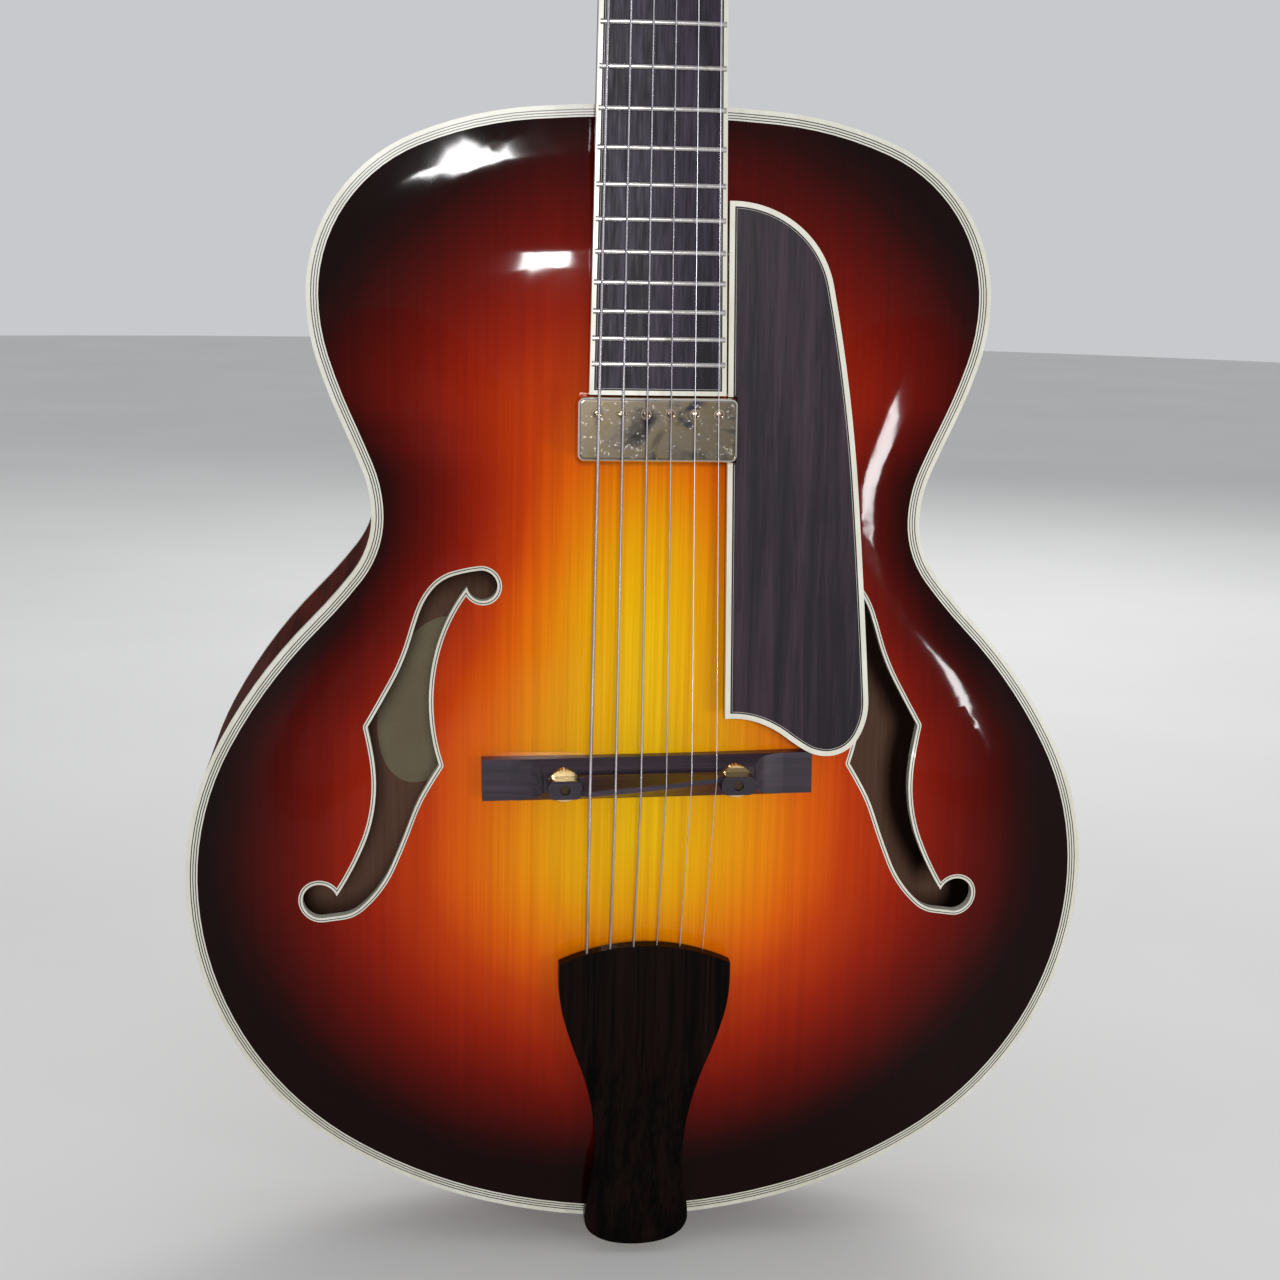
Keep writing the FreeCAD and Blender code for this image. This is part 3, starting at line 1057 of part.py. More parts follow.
def build_pickup():
    """The floating pickup: cover, two coils, base plate, pole screws and the bracket to the pickguard."""
    place = UPRIGHT * PICKUP
    stem_length = S.pole_length - S.pole_head_height
    screws, holes = [], []
    for index in range(6):
        spot = Vector((index - 2.5) * S.pole_spacing, S.pole_offset, 0)
        head = Part.makeCylinder(S.pole_head_radius, S.pole_head_height, spot)
        stem = Part.makeCylinder(S.pole_shank_radius, stem_length, spot - Z * stem_length)
        slot = Part.makeBox(2 * S.pole_head_radius, S.pole_slot_width, S.pole_slot_depth, spot + Vector(
            -S.pole_head_radius, -S.pole_slot_width / 2, S.pole_head_height - S.pole_slot_depth))
        screws.append(head.fuse(stem).removeSplitter().cut(slot))
        holes.append(Part.makeCylinder(S.pole_shank_radius + S.pole_gap, stem_length + 2 * S.overrun, spot - Z * (
            stem_length + S.pole_gap)))
    drill = feature("pole_holes", Part.makeCompound(holes))
    node("pickup_cover", [cut("cover_drilled_for_poles", pickup_cover(), drill)], place)
    node("pickup_pole_screws", [feature("poles", Part.makeCompound(screws))], place)
    coils = []
    for side in (-1, 1):
        name = "coil_" + ("tail" if side < 0 else "neck")
        centre = f"{'-' if side < 0 else ''}pole_offset - coil_width / 2"
        blank = box(name, ("coil_length", "coil_width", "coil_height"),
                    ("-coil_length / 2", centre, "-pickup_wall - coil_gap - coil_height"))
        coils.append(cut(name + "_bored", blank, drill) if side > 0 else blank)
    node("pickup_coils", coils, place)
    plate = box("base_plate", ("pickup_length - 2 * pickup_corner", "pickup_width", "pickup_base_thickness"),
                ("-pickup_length / 2 + pickup_corner", "-pickup_width / 2", "-pickup_height"))
    node("pickup_baseplate", [plate], place)
    arm = box("bracket_block", ("bracket_length", "bracket_width", "bracket_thickness"),
              ("pickup_length / 2 + bracket_gap", "pickup_rise - bridge_rise - bracket_width / 2",
               "-pickguard_thickness - glue_line - bracket_thickness"))
    node("pickup_bracket", [arm], UPRIGHT * PICKGUARD)


# Bridge

def crest_height(x):
    """Height of the saddle's crest across the strings."""
    return S.string_height - S.saddle_crest_drop - x ** 2 / (2 * S.board_radius)


def saddle_floor():
    """Level of the saddle's underside."""
    return S.bridge_crest + S.thumb_lift + S.thumb_thickness + S.saddle_lift


def saddle_section(part):
    """One section across the saddle, leaning with the strings' compensation."""
    x = part * S.saddle_span / 2
    half, crest_half = S.saddle_depth / 2, S.saddle_crest_width / 2
    low, shoulder = saddle_floor(), saddle_floor() + S.saddle_shoulder
    lean = S.saddle_crest_rise - S.bridge_centre_rise + x * (
        S.saddle_crest_lean / S.string_spread_bridge - math.tan(math.radians(S.bridge_skew)))
    top = crest_height(x) if abs(part) < 1 else low + S.saddle_ear_height
    corners = [(-half, low), (half, low), (half, shoulder), (lean + crest_half, top), (lean - crest_half, top),
               (-half, shoulder)]
    points = [Vector(x, y, z) for y, z in corners]
    return Part.makePolygon(points + points[:1])


def thumbwheel(name):
    """A knurled thumbwheel, bored for its stud."""
    bore = "stud_radius + stud_gap"
    wheel = turned(name + "_disc", [(bore, "0"), ("thumb_radius", "0"), ("thumb_radius", "thumb_thickness"),
                                    (bore, "thumb_thickness")])
    grooves = []
    for step in range(int(S.thumb_knurls)):
        spot = heading_vector(360 * step / S.thumb_knurls) * S.thumb_radius - Z * S.overrun
        grooves.append(Part.makeCylinder(S.thumb_knurl_radius, S.thumb_thickness + 2 * S.overrun, spot))
    return cut(name + "_knurled", wheel, feature(name + "_knurls", Part.makeCompound(grooves)))


def saddle_ear(side):
    """One rounded end of the saddle, standing on its thumbwheel."""
    block = Part.makeBox(S.saddle_ear_length, S.saddle_ear_depth, S.saddle_ear_height, Vector(
        side * S.stud_spacing / 2 - S.saddle_ear_length / 2, -S.saddle_ear_depth / 2, saddle_floor()))
    uprights = [edge for edge in block.Edges if edge.BoundBox.ZLength > edge.BoundBox.DiagonalLength / 2]
    return block.makeFillet(S.saddle_ear_corner, uprights)


def deck_wedges():
    """Two long wedges that draw the base in from its pads' level to its narrow deck."""
    foot = Vector(0, S.bridge_base_depth / 2, S.bridge_pad_level + S.bridge_shoulder)
    brow = Vector(0, S.bridge_deck_depth / 2, S.bridge_crest)
    slope = (brow - foot).normalize() * S.overrun
    corners = [foot - slope, brow + slope, Vector(0, foot.y + S.overrun, brow.z + S.overrun)]
    corners = [corner - X * (S.bridge_base_length / 2 + S.overrun) for corner in corners]
    wedge = Part.Face(Part.makePolygon(corners + corners[:1])).extrude(X * (S.bridge_base_length + 2 * S.overrun))
    return moved(Part.makeCompound([wedge, wedge.mirror(Vector(), Y)]), BRIDGE)


def build_bridge():
    """The bridge: a base carved to the front, two studs, two thumbwheels and the saddle."""
    half, crest = S.bridge_base_length / 2, S.bridge_crest_length / 2
    scoop_end = crest + S.bridge_scoop
    scoop = biarc(Vector(crest, S.bridge_crest, 0), -60, Vector(scoop_end, S.bridge_pad_level, 0), -6)
    edges = [arc_edge(arc) for arc in scoop]
    corners = [Vector(scoop_end, S.bridge_pad_level, 0), Vector(half, S.bridge_pad_level, 0), Vector(half, 0, 0),
               Vector()]
    edges += [Part.LineSegment(a, b).toShape() for a, b in zip(corners, corners[1:])]
    edges.append(Part.LineSegment(Vector(0, S.bridge_crest, 0), Vector(crest, S.bridge_crest, 0)).toShape())
    profile = Part.Face(mirrored_wire(edges))
    upright = feature("base_upright", moved(profile.extrude(Z * S.bridge_base_depth), BRIDGE * Placement(
        Y * (S.bridge_base_depth / 2), Rotation(X, 90))))
    ground = feature("arch_under_bridge", under_top(-S.glue_line, S.bridge_cut_depth))
    studs, sockets = [], []
    for side, sign in (("bass", "-"), ("treble", "")):
        spot = (sign + "stud_spacing / 2", "0", "bridge_crest - stud_seat")
        studs.append(cylinder("stud_" + side, "stud_radius", "stud_length", spot))
        sockets.append(moved(Part.makeCylinder(S.stud_radius, S.stud_length, Vector(
            number(spot[0]), 0, S.bridge_crest - S.stud_seat)), BRIDGE))
    base = cut("base_carved", upright, ground, feature("stud_sockets", Part.makeCompound(sockets)),
               feature("deck_wedges", deck_wedges()))
    node("bridge_base", [base], UPRIGHT)
    node("bridge_studs", studs, UPRIGHT * BRIDGE)
    for side, sign in (("bass", -1), ("treble", 1)):
        seat = BRIDGE * Placement(Vector(sign * S.stud_spacing / 2, 0, S.bridge_crest + S.thumb_lift), Rotation())
        node("thumbwheel_" + side, [thumbwheel("thumb_" + side)], UPRIGHT * seat)
    blade = Part.makeLoft([saddle_section(part) for part in SADDLE_SHARES], True, True)
    ears, bores = [], []
    for sign in (-1, 1):
        spot = Vector(sign * S.stud_spacing / 2, 0, saddle_floor())
        ears.append(saddle_ear(sign))
        bores.append(Part.makeCylinder(S.stud_radius + S.stud_gap, 2 * S.saddle_ear_height, spot - Z * S.overrun))
    saddle = blade.fuse(ears).removeSplitter().cut(bores + [moved(STRING_TOOLS, BRIDGE.inverse())])
    node("bridge_saddle", [feature("saddle", saddle)], UPRIGHT * BRIDGE)


# Tailpiece

def tail_slope():
    """Downward slope of the tailpiece from its knee to its foot."""
    return math.atan2(S.tail_knee_level - S.tail_foot_level, S.tail_knee_rise + S.tail_overhang)


def tail_under(rise):
    """Height of the tailpiece's underside on its straight lower part."""
    return S.tail_foot_level - S.tail_thickness + (rise + S.tail_overhang) * math.tan(tail_slope())


def tail_face():
    """The tailpiece's outline seen from the front."""
    head, mid, foot = S.tail_head_width / 2, S.tail_waist_width / 2, S.tail_foot_width / 2
    flare, flank = TAIL_FLARE_SHARES, TAIL_FLANK_SHARES

    def rise(part):
        return part * S.tail_length - S.tail_overhang

    corner = S.tail_length - S.tail_overhang - S.tail_head_sagitta
    stops = [(x * foot, rise(y), h) for x, y, h in TAIL_FOOT_SHARES]
    stops += [(between(mid, foot, flare[0]), rise(flare[1]), flare[2]), (mid, rise(TAIL_WAIST_SHARE), 90),
              (between(mid, head, flank[0]), rise(flank[1]), flank[2]), (head, rise(TAIL_SHOULDER_SHARE), 90),
              (head, corner, 90)]
    tilt = 180 - 2 * math.degrees(math.atan2(S.tail_head_sagitta, head))
    arcs = run_of_arcs(stops) + run_of_arcs([(head, corner, tilt), (0, corner + S.tail_head_sagitta, 180)])
    return Part.Face(mirrored_wire([arc_edge(arc) for arc in arcs]))


def build_tailpiece():
    """The tailpiece, bored for the strings, and the hanger that ties it to the tail."""
    slope = 180 + math.degrees(tail_slope())
    head_rise = S.tail_length - S.tail_overhang + S.overrun
    foot_rise, foot_level = -S.tail_overhang - S.overrun, S.tail_foot_level - S.overrun * math.tan(tail_slope())
    stops = [(head_rise, S.tail_head_level, 178), (S.tail_knee_rise, S.tail_knee_level, slope),
             (foot_rise, foot_level, slope)]
    drop = Vector(0, -S.tail_thickness, 0)
    arcs = run_of_arcs(stops)
    top = [arc_edge(arc) for arc in arcs]
    under = [arc_edge((start + drop, heading, end + drop)) for start, heading, end in arcs]
    ends = [Part.LineSegment(point, point + drop).toShape() for point in (arcs[0][0], arcs[-1][2])]
    profile = Part.Face(Part.Wire(Part.__sortEdges__(top + under + ends)))
    width = S.tail_head_width + 2 * S.overrun
    side = Placement(Vector(-width / 2, 0, 0), Rotation(Y, Z, X, "XYZ"))
    slab = moved(profile.extrude(Z * width), side)
    column = raised(tail_face(), -S.top_arch, 2 * S.top_arch)
    tools = [bored_route(index) for index in range(6)] + screw_tools()[-2:]
    node("tailpiece", [feature("tail", slab.common(column).cut(tools))], UPRIGHT)
    gap, sheet_wall = S.hanger_gap, S.hanger_thickness
    outer = -gap - sheet_wall
    line = [(S.hanger_reach, tail_under(S.hanger_reach) - S.glue_line), (outer, tail_under(outer) - S.glue_line),
            (outer, -S.hanger_drop), (-gap, -S.hanger_drop),
            (-gap, tail_under(-gap) - S.glue_line - sheet_wall / math.cos(tail_slope())),
            (S.hanger_reach, tail_under(S.hanger_reach) - S.glue_line - sheet_wall / math.cos(tail_slope()))]
    points = [Vector(-S.hanger_width / 2, y, z) for y, z in line]
    strap = Part.Face(Part.makePolygon(points + points[:1])).extrude(X * S.hanger_width)
    bore = Part.makeCylinder(S.jack_radius + S.jack_gap, S.jack_reach, Vector(0, -S.jack_reach / 2, -MID_DEPTH), Y)
    node("tailpiece_hanger", [feature("strap", strap.cut([bore] + screw_tools()[-2:]))], UPRIGHT)


def build_jack():
    """The end-pin jack, turned in one piece with its strap flange, and the nut inside."""
    seat = "jack_reach - hanger_gap - hanger_thickness - glue_line"
    inner = "jack_reach + rib_wall + tail_block_length + 2 * glue_line"
    end = inner + " + jack_nut_length + jack_tip"
    jack = turned("jack", [
        ("jack_bore_radius", "0"), ("jack_flange_radius - jack_bevel", "0"), ("jack_flange_radius", "jack_bevel"),
        ("jack_flange_radius", "jack_flange_length"), ("jack_neck_radius", "jack_flange_length + jack_bevel"),
        ("jack_neck_radius", seat + " - jack_bevel"), ("jack_flange_radius - jack_bevel", seat),
        ("jack_radius", seat), ("jack_radius", end), ("0", end), ("0", "jack_bore_length"),
        ("jack_bore_radius", "jack_bore_length")])
    place = Placement(Vector(0, -S.jack_reach, -MID_DEPTH), Rotation(X, -90))
    node("end_pin_jack", [jack], UPRIGHT * place)
    blank = primitive("Prism", "jack_nut_blank", {"Circumradius": "jack_nut_radius", "Height": "jack_nut_length"},
                      ("0", "0", inner))
    bore = cylinder("jack_nut_bore", "jack_radius + jack_gap / 2", "jack_nut_length + 2 * overrun",
                    ("0", "0", inner + " - overrun"))
    node("jack_nut", [cut("jack_nut_bored", blank, bore)], UPRIGHT * place)


# Strings

def string_radius(index):
    """Radius of one string, from 0, the lowest."""
    return getattr(S, "string_radius_" + STRING_RADII[index])


def string_offset(index, spread):
    """Sideways place of a string in a row of the given spread."""
    return (index / 5 - 0.5) * spread


def string_points(index):
    """Corners of a string's route on the bench: in the tailpiece, over the saddle, over the nut, at its post."""
    x_tail, x_saddle, x_nut = [string_offset(index, spread) for spread in (
        S.string_spread_tail, S.string_spread_bridge, S.string_spread_nut)]
    tail = Vector(x_tail, S.string_tail_rise, S.string_tail_level)
    lean = x_saddle * S.saddle_crest_lean / S.string_spread_bridge
    saddle = Vector(x_saddle, S.saddle_crest_rise + lean, crest_height(x_saddle) + S.saddle_crest_drop)
    nut = NECK.multVec(Vector(x_nut, S.nut_length / 2, S.nut_action - x_nut ** 2 / (2 * S.board_radius)))
    return [tail, saddle, nut]


def wrap_radius(index):
    """Radius at which a string's middle line goes round its post."""
    return S.post_waist_radius + S.string_wrap_gap + string_radius(index)


def wrap_level():
    """Height of the string's turn on the post, above the veneer's underside."""
    return S.veneer_thickness + S.bushing_flange_height + S.post_shoulder + S.post_waist_length / 2


def post_touch(index, nut):
    """Where a string that comes from the nut first touches its turn round the post, on the side of the middle."""
    post = post_place(index) + Z * wrap_level()
    start = HEAD.inverse().multVec(nut)
    flat = Vector(start.x - post.x, start.y - post.y, 0)
    lean = math.degrees(math.acos(wrap_radius(index) / flat.Length))
    side = 1 if index < 3 else -1
    spoke = heading_vector(angle_of(flat) + side * lean) * wrap_radius(index)
    return post + spoke, post


def rounded_route(points, bend):
    """Straight runs through points, joined by tangent arcs."""
    edges = []
    last = points[0]
    for before, corner, after in zip(points, points[1:], points[2:]):
        arrive = (corner - before).normalize()
        leave = (after - corner).normalize()
        half = arrive.getAngle(leave) / 2
        start, end = corner - arrive * (bend * math.tan(half)), corner + leave * (bend * math.tan(half))
        inward = (leave - arrive).normalize()
        middle = corner + inward * (bend / math.cos(half) - bend)
        edges.append(Part.LineSegment(last, start).toShape())
        edges.append(Part.Arc(start, middle, end).toShape())
        last = end
    edges.append(Part.LineSegment(last, points[-1]).toShape())
    return edges


def string_solid(index, gap):
    """A string as one tube from tailpiece to post, thicker by a gap where it serves as a cutting shape."""
    points = string_points(index)
    touch, post = post_touch(index, points[-1])
    arrive = HEAD.multVec(touch)
    edges = rounded_route(points + [arrive], S.string_bend)
    if gap == 0:
        ahead = (arrive - edges[-1].Vertexes[0].Point).normalize()
        inward = (HEAD.multVec(post) - arrive).normalize()
        radius = wrap_radius(index)
        spots = []
        for part in (0.5, 1):
            turn = math.radians(S.string_wrap_turn * part)
            spots.append(arrive + (ahead * math.sin(turn) + inward * (1 - math.cos(turn))) * radius)
        edges.append(Part.Arc(arrive, *spots).toShape())
    route = Part.Wire(edges)
    start = (points[1] - points[0]).normalize()
    ring = Part.Wire(Part.makeCircle(string_radius(index) + gap, points[0], start))
    return route.makePipeShell([ring], True, False)


def bored_route(index):
    """The hole in the tailpiece that a string's end lies in."""
    tail, saddle = string_points(index)[:2]
    ahead = (saddle - tail).normalize()
    start = tail - ahead * S.string_hole_gap
    return Part.makeCylinder(string_radius(index) + S.string_hole_gap, (saddle - tail).Length / 2, start, ahead)


STRING_TOOLS = Part.makeCompound([string_solid(index, S.slot_gap) for index in range(6)])


def build_strings():
    """Four wound strings and two plain ones."""
    solids = [string_solid(index, 0) for index in range(6)]
    node("strings_wound", [feature("wound", Part.makeCompound(solids[:WOUND_STRINGS]))], UPRIGHT)
    node("strings_plain", [feature("plain", Part.makeCompound(solids[WOUND_STRINGS:]))], UPRIGHT)


F_HOLE = f_hole_wire()
for build in (build_plates, build_trim, build_rim, build_inside, build_neck, build_fingerboard, build_headstock,
              build_tuners, build_pickguard, build_pickup, build_bridge, build_tailpiece, build_jack, build_strings):
    build()
doc.recompute()

# Nothing is written unless every object and every sub-part is sound
for obj in doc.Objects:
    if {"Invalid", "Error"} & set(obj.State):
        raise RuntimeError(f"{obj.Label} failed: {obj.State}")
for obj in NODES:
    if obj.Shape.isNull() or not obj.Shape.isValid() or not obj.Shape.Solids:
        raise RuntimeError(f"{obj.Label} has no sound shape")
os.makedirs("parts", exist_ok=True)
for obj in NODES:
    obj.Shape.exportStep(f"parts/{obj.Label}.step")
    print(obj.Label, len(obj.Shape.Solids), round(obj.Shape.Volume, 1))
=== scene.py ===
"""Looks of an archtop guitar: finishes for the frame, live strings, trim lines, screws, studio and camera."""
import logging
import math
from dataclasses import dataclass, field
from enum import Enum
from typing import Any

import bmesh
import bpy
from mathutils import Euler, Matrix, Vector
from mathutils.bvhtree import BVHTree


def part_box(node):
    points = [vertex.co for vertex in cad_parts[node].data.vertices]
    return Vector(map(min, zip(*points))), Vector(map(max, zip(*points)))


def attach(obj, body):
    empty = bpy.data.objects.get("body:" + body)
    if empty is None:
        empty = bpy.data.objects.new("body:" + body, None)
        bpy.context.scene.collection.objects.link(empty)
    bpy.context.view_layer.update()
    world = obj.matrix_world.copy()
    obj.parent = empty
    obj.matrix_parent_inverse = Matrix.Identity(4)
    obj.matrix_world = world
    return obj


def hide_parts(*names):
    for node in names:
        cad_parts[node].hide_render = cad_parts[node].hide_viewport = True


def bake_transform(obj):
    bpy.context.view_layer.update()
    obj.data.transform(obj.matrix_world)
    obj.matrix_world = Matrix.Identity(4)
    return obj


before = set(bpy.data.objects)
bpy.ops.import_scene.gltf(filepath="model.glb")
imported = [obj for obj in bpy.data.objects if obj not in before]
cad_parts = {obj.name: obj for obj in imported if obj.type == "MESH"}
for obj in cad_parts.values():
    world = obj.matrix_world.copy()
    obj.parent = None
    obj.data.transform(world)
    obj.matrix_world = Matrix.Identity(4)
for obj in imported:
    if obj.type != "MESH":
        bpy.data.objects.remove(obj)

log = logging.getLogger("archtop")
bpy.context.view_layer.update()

Socket = bpy.types.NodeSocket
Mesh = bpy.types.Mesh
Span = tuple[float, float]
Triple = tuple[float, float, float]
Colour = tuple[float, float, float, float]
Stops = list[tuple[float, Colour]]

MM = 0.001
GUITAR, SADDLE = "guitar", "saddle"
# The workbench drawing lies on its back: x to the treble side, y up the neck, z out of the front.
BENCH_LEVEL = 43.0
JACK_REACH = 14.0
# Points of a CAD mesh that lie closer than this, in metres, are one point.
MERGE_DISTANCE = 1e-6

# The curve by which everyday colours, in steps up to the highest, become linear ones.
HIGHEST_STEP = 255
KNEE, SLOPE, OFFSET, POWER = 0.04045, 12.92, 0.055, 2.4

# The stretch of blotches that are as long as they are wide, and the stretch along the fibres of wood.
EVEN = (1.0, 1.0, 1.0)
FIBRE_STRETCH = 0.014
# The range of a mask, and the ranges where most and nearly all of a noise's values lie.
UNIT = (0.0, 1.0)
MOST = (0.3, 0.7)
NEARLY_ALL = (0.2, 0.8)


def paint(*steps: float) -> Colour:
    """Turns an everyday colour into the linear one that shaders use.

    Args:
        steps: Red, green and blue from 0 to 255.

    Returns:
        The linear colour with full opacity.
    """
    parts = []
    for share in (step / HIGHEST_STEP for step in steps):
        parts.append(share / SLOPE if share <= KNEE else ((share + OFFSET) / (1 + OFFSET)) ** POWER)
    return (*parts, 1.0)


def bench(place: Vector) -> Vector:
    """Stands a point of the workbench drawing, in millimetres, upright in the frame, in metres."""
    return Vector((place.x, -place.z - BENCH_LEVEL, place.y + JACK_REACH)) * MM


def tilted(base: Vector, degrees: float) -> Matrix:
    """A workbench plane at a base in millimetres, turned so that its far end rises by some degrees."""
    return Matrix.Translation(base) @ Matrix.Rotation(math.radians(degrees), 4, "X")


class Grain(Enum):
    """The way that the fibres of a wooden piece run in the frame."""

    UPRIGHT = (1.0, 1.0, FIBRE_STRETCH)
    ACROSS = (FIBRE_STRETCH, 1.0, 1.0)
    DEEP = (1.0, FIBRE_STRETCH, 1.0)


class Side(Enum):
    """The side of a wooden shell that is lacquered."""

    FRONT = "front"
    BACK = "back"
    ROUND = "round"


class Run(Enum):
    """The stretches of a string between the places that hold it."""

    TAIL = "tail"
    SPEAKING = "speaking"
    HEAD = "head"


class Graph:
    """A node tree with a short way to add nodes and join their sockets."""

    def __init__(self, tree: bpy.types.NodeTree) -> None:
        """Keeps the tree to build in."""
        self.tree = tree

    def feed(self, socket: Socket, value: Any) -> None:
        """Joins a socket to another or sets its value.

        Args:
            socket: The socket that takes something in.
            value: Another socket, or a value.
        """
        if isinstance(value, Socket):
            self.tree.links.new(value, socket)
        else:
            socket.default_value = value

    def add(self, kind: str, inputs: dict[Any, Any] | None = None, **settings: Any) -> bpy.types.Node:
        """Adds a node.

        Args:
            kind: The node's type.
            inputs: What goes into its sockets, by name or number: another socket, or a value.
            settings: Properties of the node itself.

        Returns:
            The new node.
        """
        node = self.tree.nodes.new(kind)
        for key, value in settings.items():
            setattr(node, key, value)
        for key, value in (inputs or {}).items():
            self.feed(node.inputs[key], value)
        return node

    def sum(self, operation: str, first: Any, second: Any = 0.0) -> Socket:
        """What a Math node's operation makes of two sockets or numbers."""
        return self.add("ShaderNodeMath", {0: first, 1: second}, operation=operation).outputs[0]


class Recipe(Graph):
    """The node tree of one finish, ending in its shader."""

    def __init__(self, name: str) -> None:
        """Starts a material.

        Args:
            name: The finish's name.
        """
        self.material = bpy.data.materials.new(name)
        self.material.use_nodes = True
        super().__init__(self.material.node_tree)
        self.shader = self.tree.nodes["Principled BSDF"]
        coordinates = self.add("ShaderNodeTexCoord")
        self.place = coordinates.outputs["Object"]
        self.facing = coordinates.outputs["Normal"]

    def weighed(self, first: Socket, second: Socket, share: float) -> Socket:
        """Two numbers added, the first with a share of the weight and the second with the rest."""
        return self.sum("ADD", self.sum("MULTIPLY", first, share), self.sum("MULTIPLY", second, 1.0 - share))

    def axes(self, vector: Socket) -> list[Socket]:
        """The x, y and z of a vector."""
        return list(self.add("ShaderNodeSeparateXYZ", {0: vector}).outputs)

    def noise(self, stretch: Triple, scale: float, detail: float = 2.0, rough: float = 0.5,
              twist: float = 0.0) -> Socket:
        """Soft blotches, drawn out along the axes with a small stretch.

        Args:
            stretch: How many times closer the blotches lie along each axis.
            scale: Blotches per metre.
            detail: How many finer layers there are.
            rough: Weight of the finer layers.
            twist: How much the blotches curl.

        Returns:
            A socket with values round one half.
        """
        mapped = self.add("ShaderNodeMapping", {"Vector": self.place, "Scale": stretch})
        texture = self.add("ShaderNodeTexNoise", {
            "Vector": mapped.outputs[0], "Scale": scale, "Detail": detail, "Roughness": rough,
            "Distortion": twist})
        return texture.outputs[0]

    def ramp(self, factor: Socket, stops: Stops) -> Socket:
        """Colours a number.

        Args:
            factor: The number's socket.
            stops: Positions from 0 to 1 with their colours.

        Returns:
            The colour's socket.
        """
        node = self.add("ShaderNodeValToRGB", {0: factor})
        elements = node.color_ramp.elements
        while len(elements) < len(stops):
            elements.new(1.0)
        for element, (position, colour) in zip(elements, stops):
            element.position = position
            element.color = colour
        return node.outputs[0]

    def spread(self, factor: Socket, source: Span, target: Span = UNIT) -> Socket:
        """Moves a number from one range to another.

        Args:
            factor: The number's socket.
            source: Start and end of the range that comes in.
            target: What they become.

        Returns:
            The new number's socket.
        """
        return self.add("ShaderNodeMapRange", {
            "Value": factor, "From Min": source[0], "From Max": source[1],
            "To Min": target[0], "To Max": target[1]}).outputs[0]

    def mix(self, factor: Any, first: Any, second: Any, blend: str = "MIX") -> Socket:
        """A colour with a second one laid over it, by a factor and a way of blending."""
        node = self.add("ShaderNodeMix", {0: factor, 6: first, 7: second}, data_type="RGBA", blend_type=blend)
        return node.outputs[2]

    def relief(self, height: Socket, depth: float, strength: float) -> None:
        """Gives the surface a fine relief: its height's socket, depth in metres, and how much of it shows."""
        node = self.add("ShaderNodeBump", {"Height": height, "Distance": depth, "Strength": strength})
        self.set(Normal=node.outputs[0])

    def set(self, **inputs: Any) -> None:
        """Sets or joins the shader's inputs, with underscores for the blanks in their names."""
        for key, value in inputs.items():
            self.feed(self.shader.inputs[key.replace("_", " ")], value)


@dataclass(frozen=True)
class Finish:
    """A finish that makes its material once and hands it out after that."""

    name: str

    def material(self) -> bpy.types.Material:
        """Makes the material when it is first asked for.

        Returns:
            The finish's material.
        """
        made = bpy.data.materials.get(self.name)
        if made is None:
            recipe = Recipe(self.name)
            self.mix_into(recipe)
            made = recipe.material
        return made

    def mix_into(self, recipe: Recipe) -> None:
        """Builds the finish's nodes in the material's tree."""
        raise NotImplementedError


@dataclass(frozen=True)
class Burst:
    """Where the sprayed burst lies on the body and how it fades towards the edge, with lengths in metres."""

    body_length: float = 0.5055
    reach: float = 0.183
    shift: float = 0.0085
    lean: float = 0.022
    low: float = 0.189
    low_fade: float = 0.167
    high: float = 0.28
    high_fade: float = 0.232
    waver: float = 0.035
    # How far the middle reaches sideways on its way up, as shares of the body's length and of the reach.
    reach_shares: tuple[Span, ...] = (
        (0.0, 1.0), (0.43, 1.0), (0.5, 0.9), (0.575, 0.74), (0.65, 0.67), (0.72, 0.8), (0.78, 0.98),
        (1.0, 1.02))

    def width(self, recipe: Recipe, rise: Socket) -> Socket:
        """How far the middle reaches sideways at a height on the body.

        Args:
            recipe: The material's tree.
            rise: The height.

        Returns:
            The reach's socket.
        """
        curve = recipe.add("ShaderNodeFloatCurve", {"Value": recipe.sum("DIVIDE", rise, self.body_length)})
        points = curve.mapping.curves[0].points
        while len(points) < len(self.reach_shares):
            points.new(0.5, 0.5)
        for point, place in zip(points, self.reach_shares):
            point.location = place
        curve.mapping.update()
        return recipe.sum("MULTIPLY", curve.outputs[0], self.reach)

    def share(self, recipe: Recipe) -> Socket:
        """How far from the burst's middle a point of the body lies: 0 in the middle, 1 at the edge.

        Args:
            recipe: The material's tree.

        Returns:
            The share's socket.
        """
        x, _, z = recipe.axes(recipe.place)
        x = recipe.sum("ADD", x, recipe.sum("SUBTRACT", self.shift, recipe.sum("MULTIPLY", z, self.lean)))
        rise = recipe.sum("SUBTRACT", z, JACK_REACH * MM)
        across = recipe.sum("DIVIDE", x, self.width(recipe, rise))
        below = recipe.sum("DIVIDE", recipe.sum("SUBTRACT", self.low, rise), self.low_fade)
        above = recipe.sum("DIVIDE", recipe.sum("SUBTRACT", rise, self.high), self.high_fade)
        along = recipe.sum("MAXIMUM", recipe.sum("MAXIMUM", below, above), 0.0)
        squares = [recipe.sum("MULTIPLY", way, way) for way in (across, along)]
        cloud = recipe.noise((1.0, 1.0, 0.6), scale=14.0)
        return recipe.sum("ADD", recipe.sum("SQRT", recipe.sum("ADD", *squares)),
                          recipe.spread(cloud, UNIT, (-self.waver, self.waver)))


BURST = Burst()
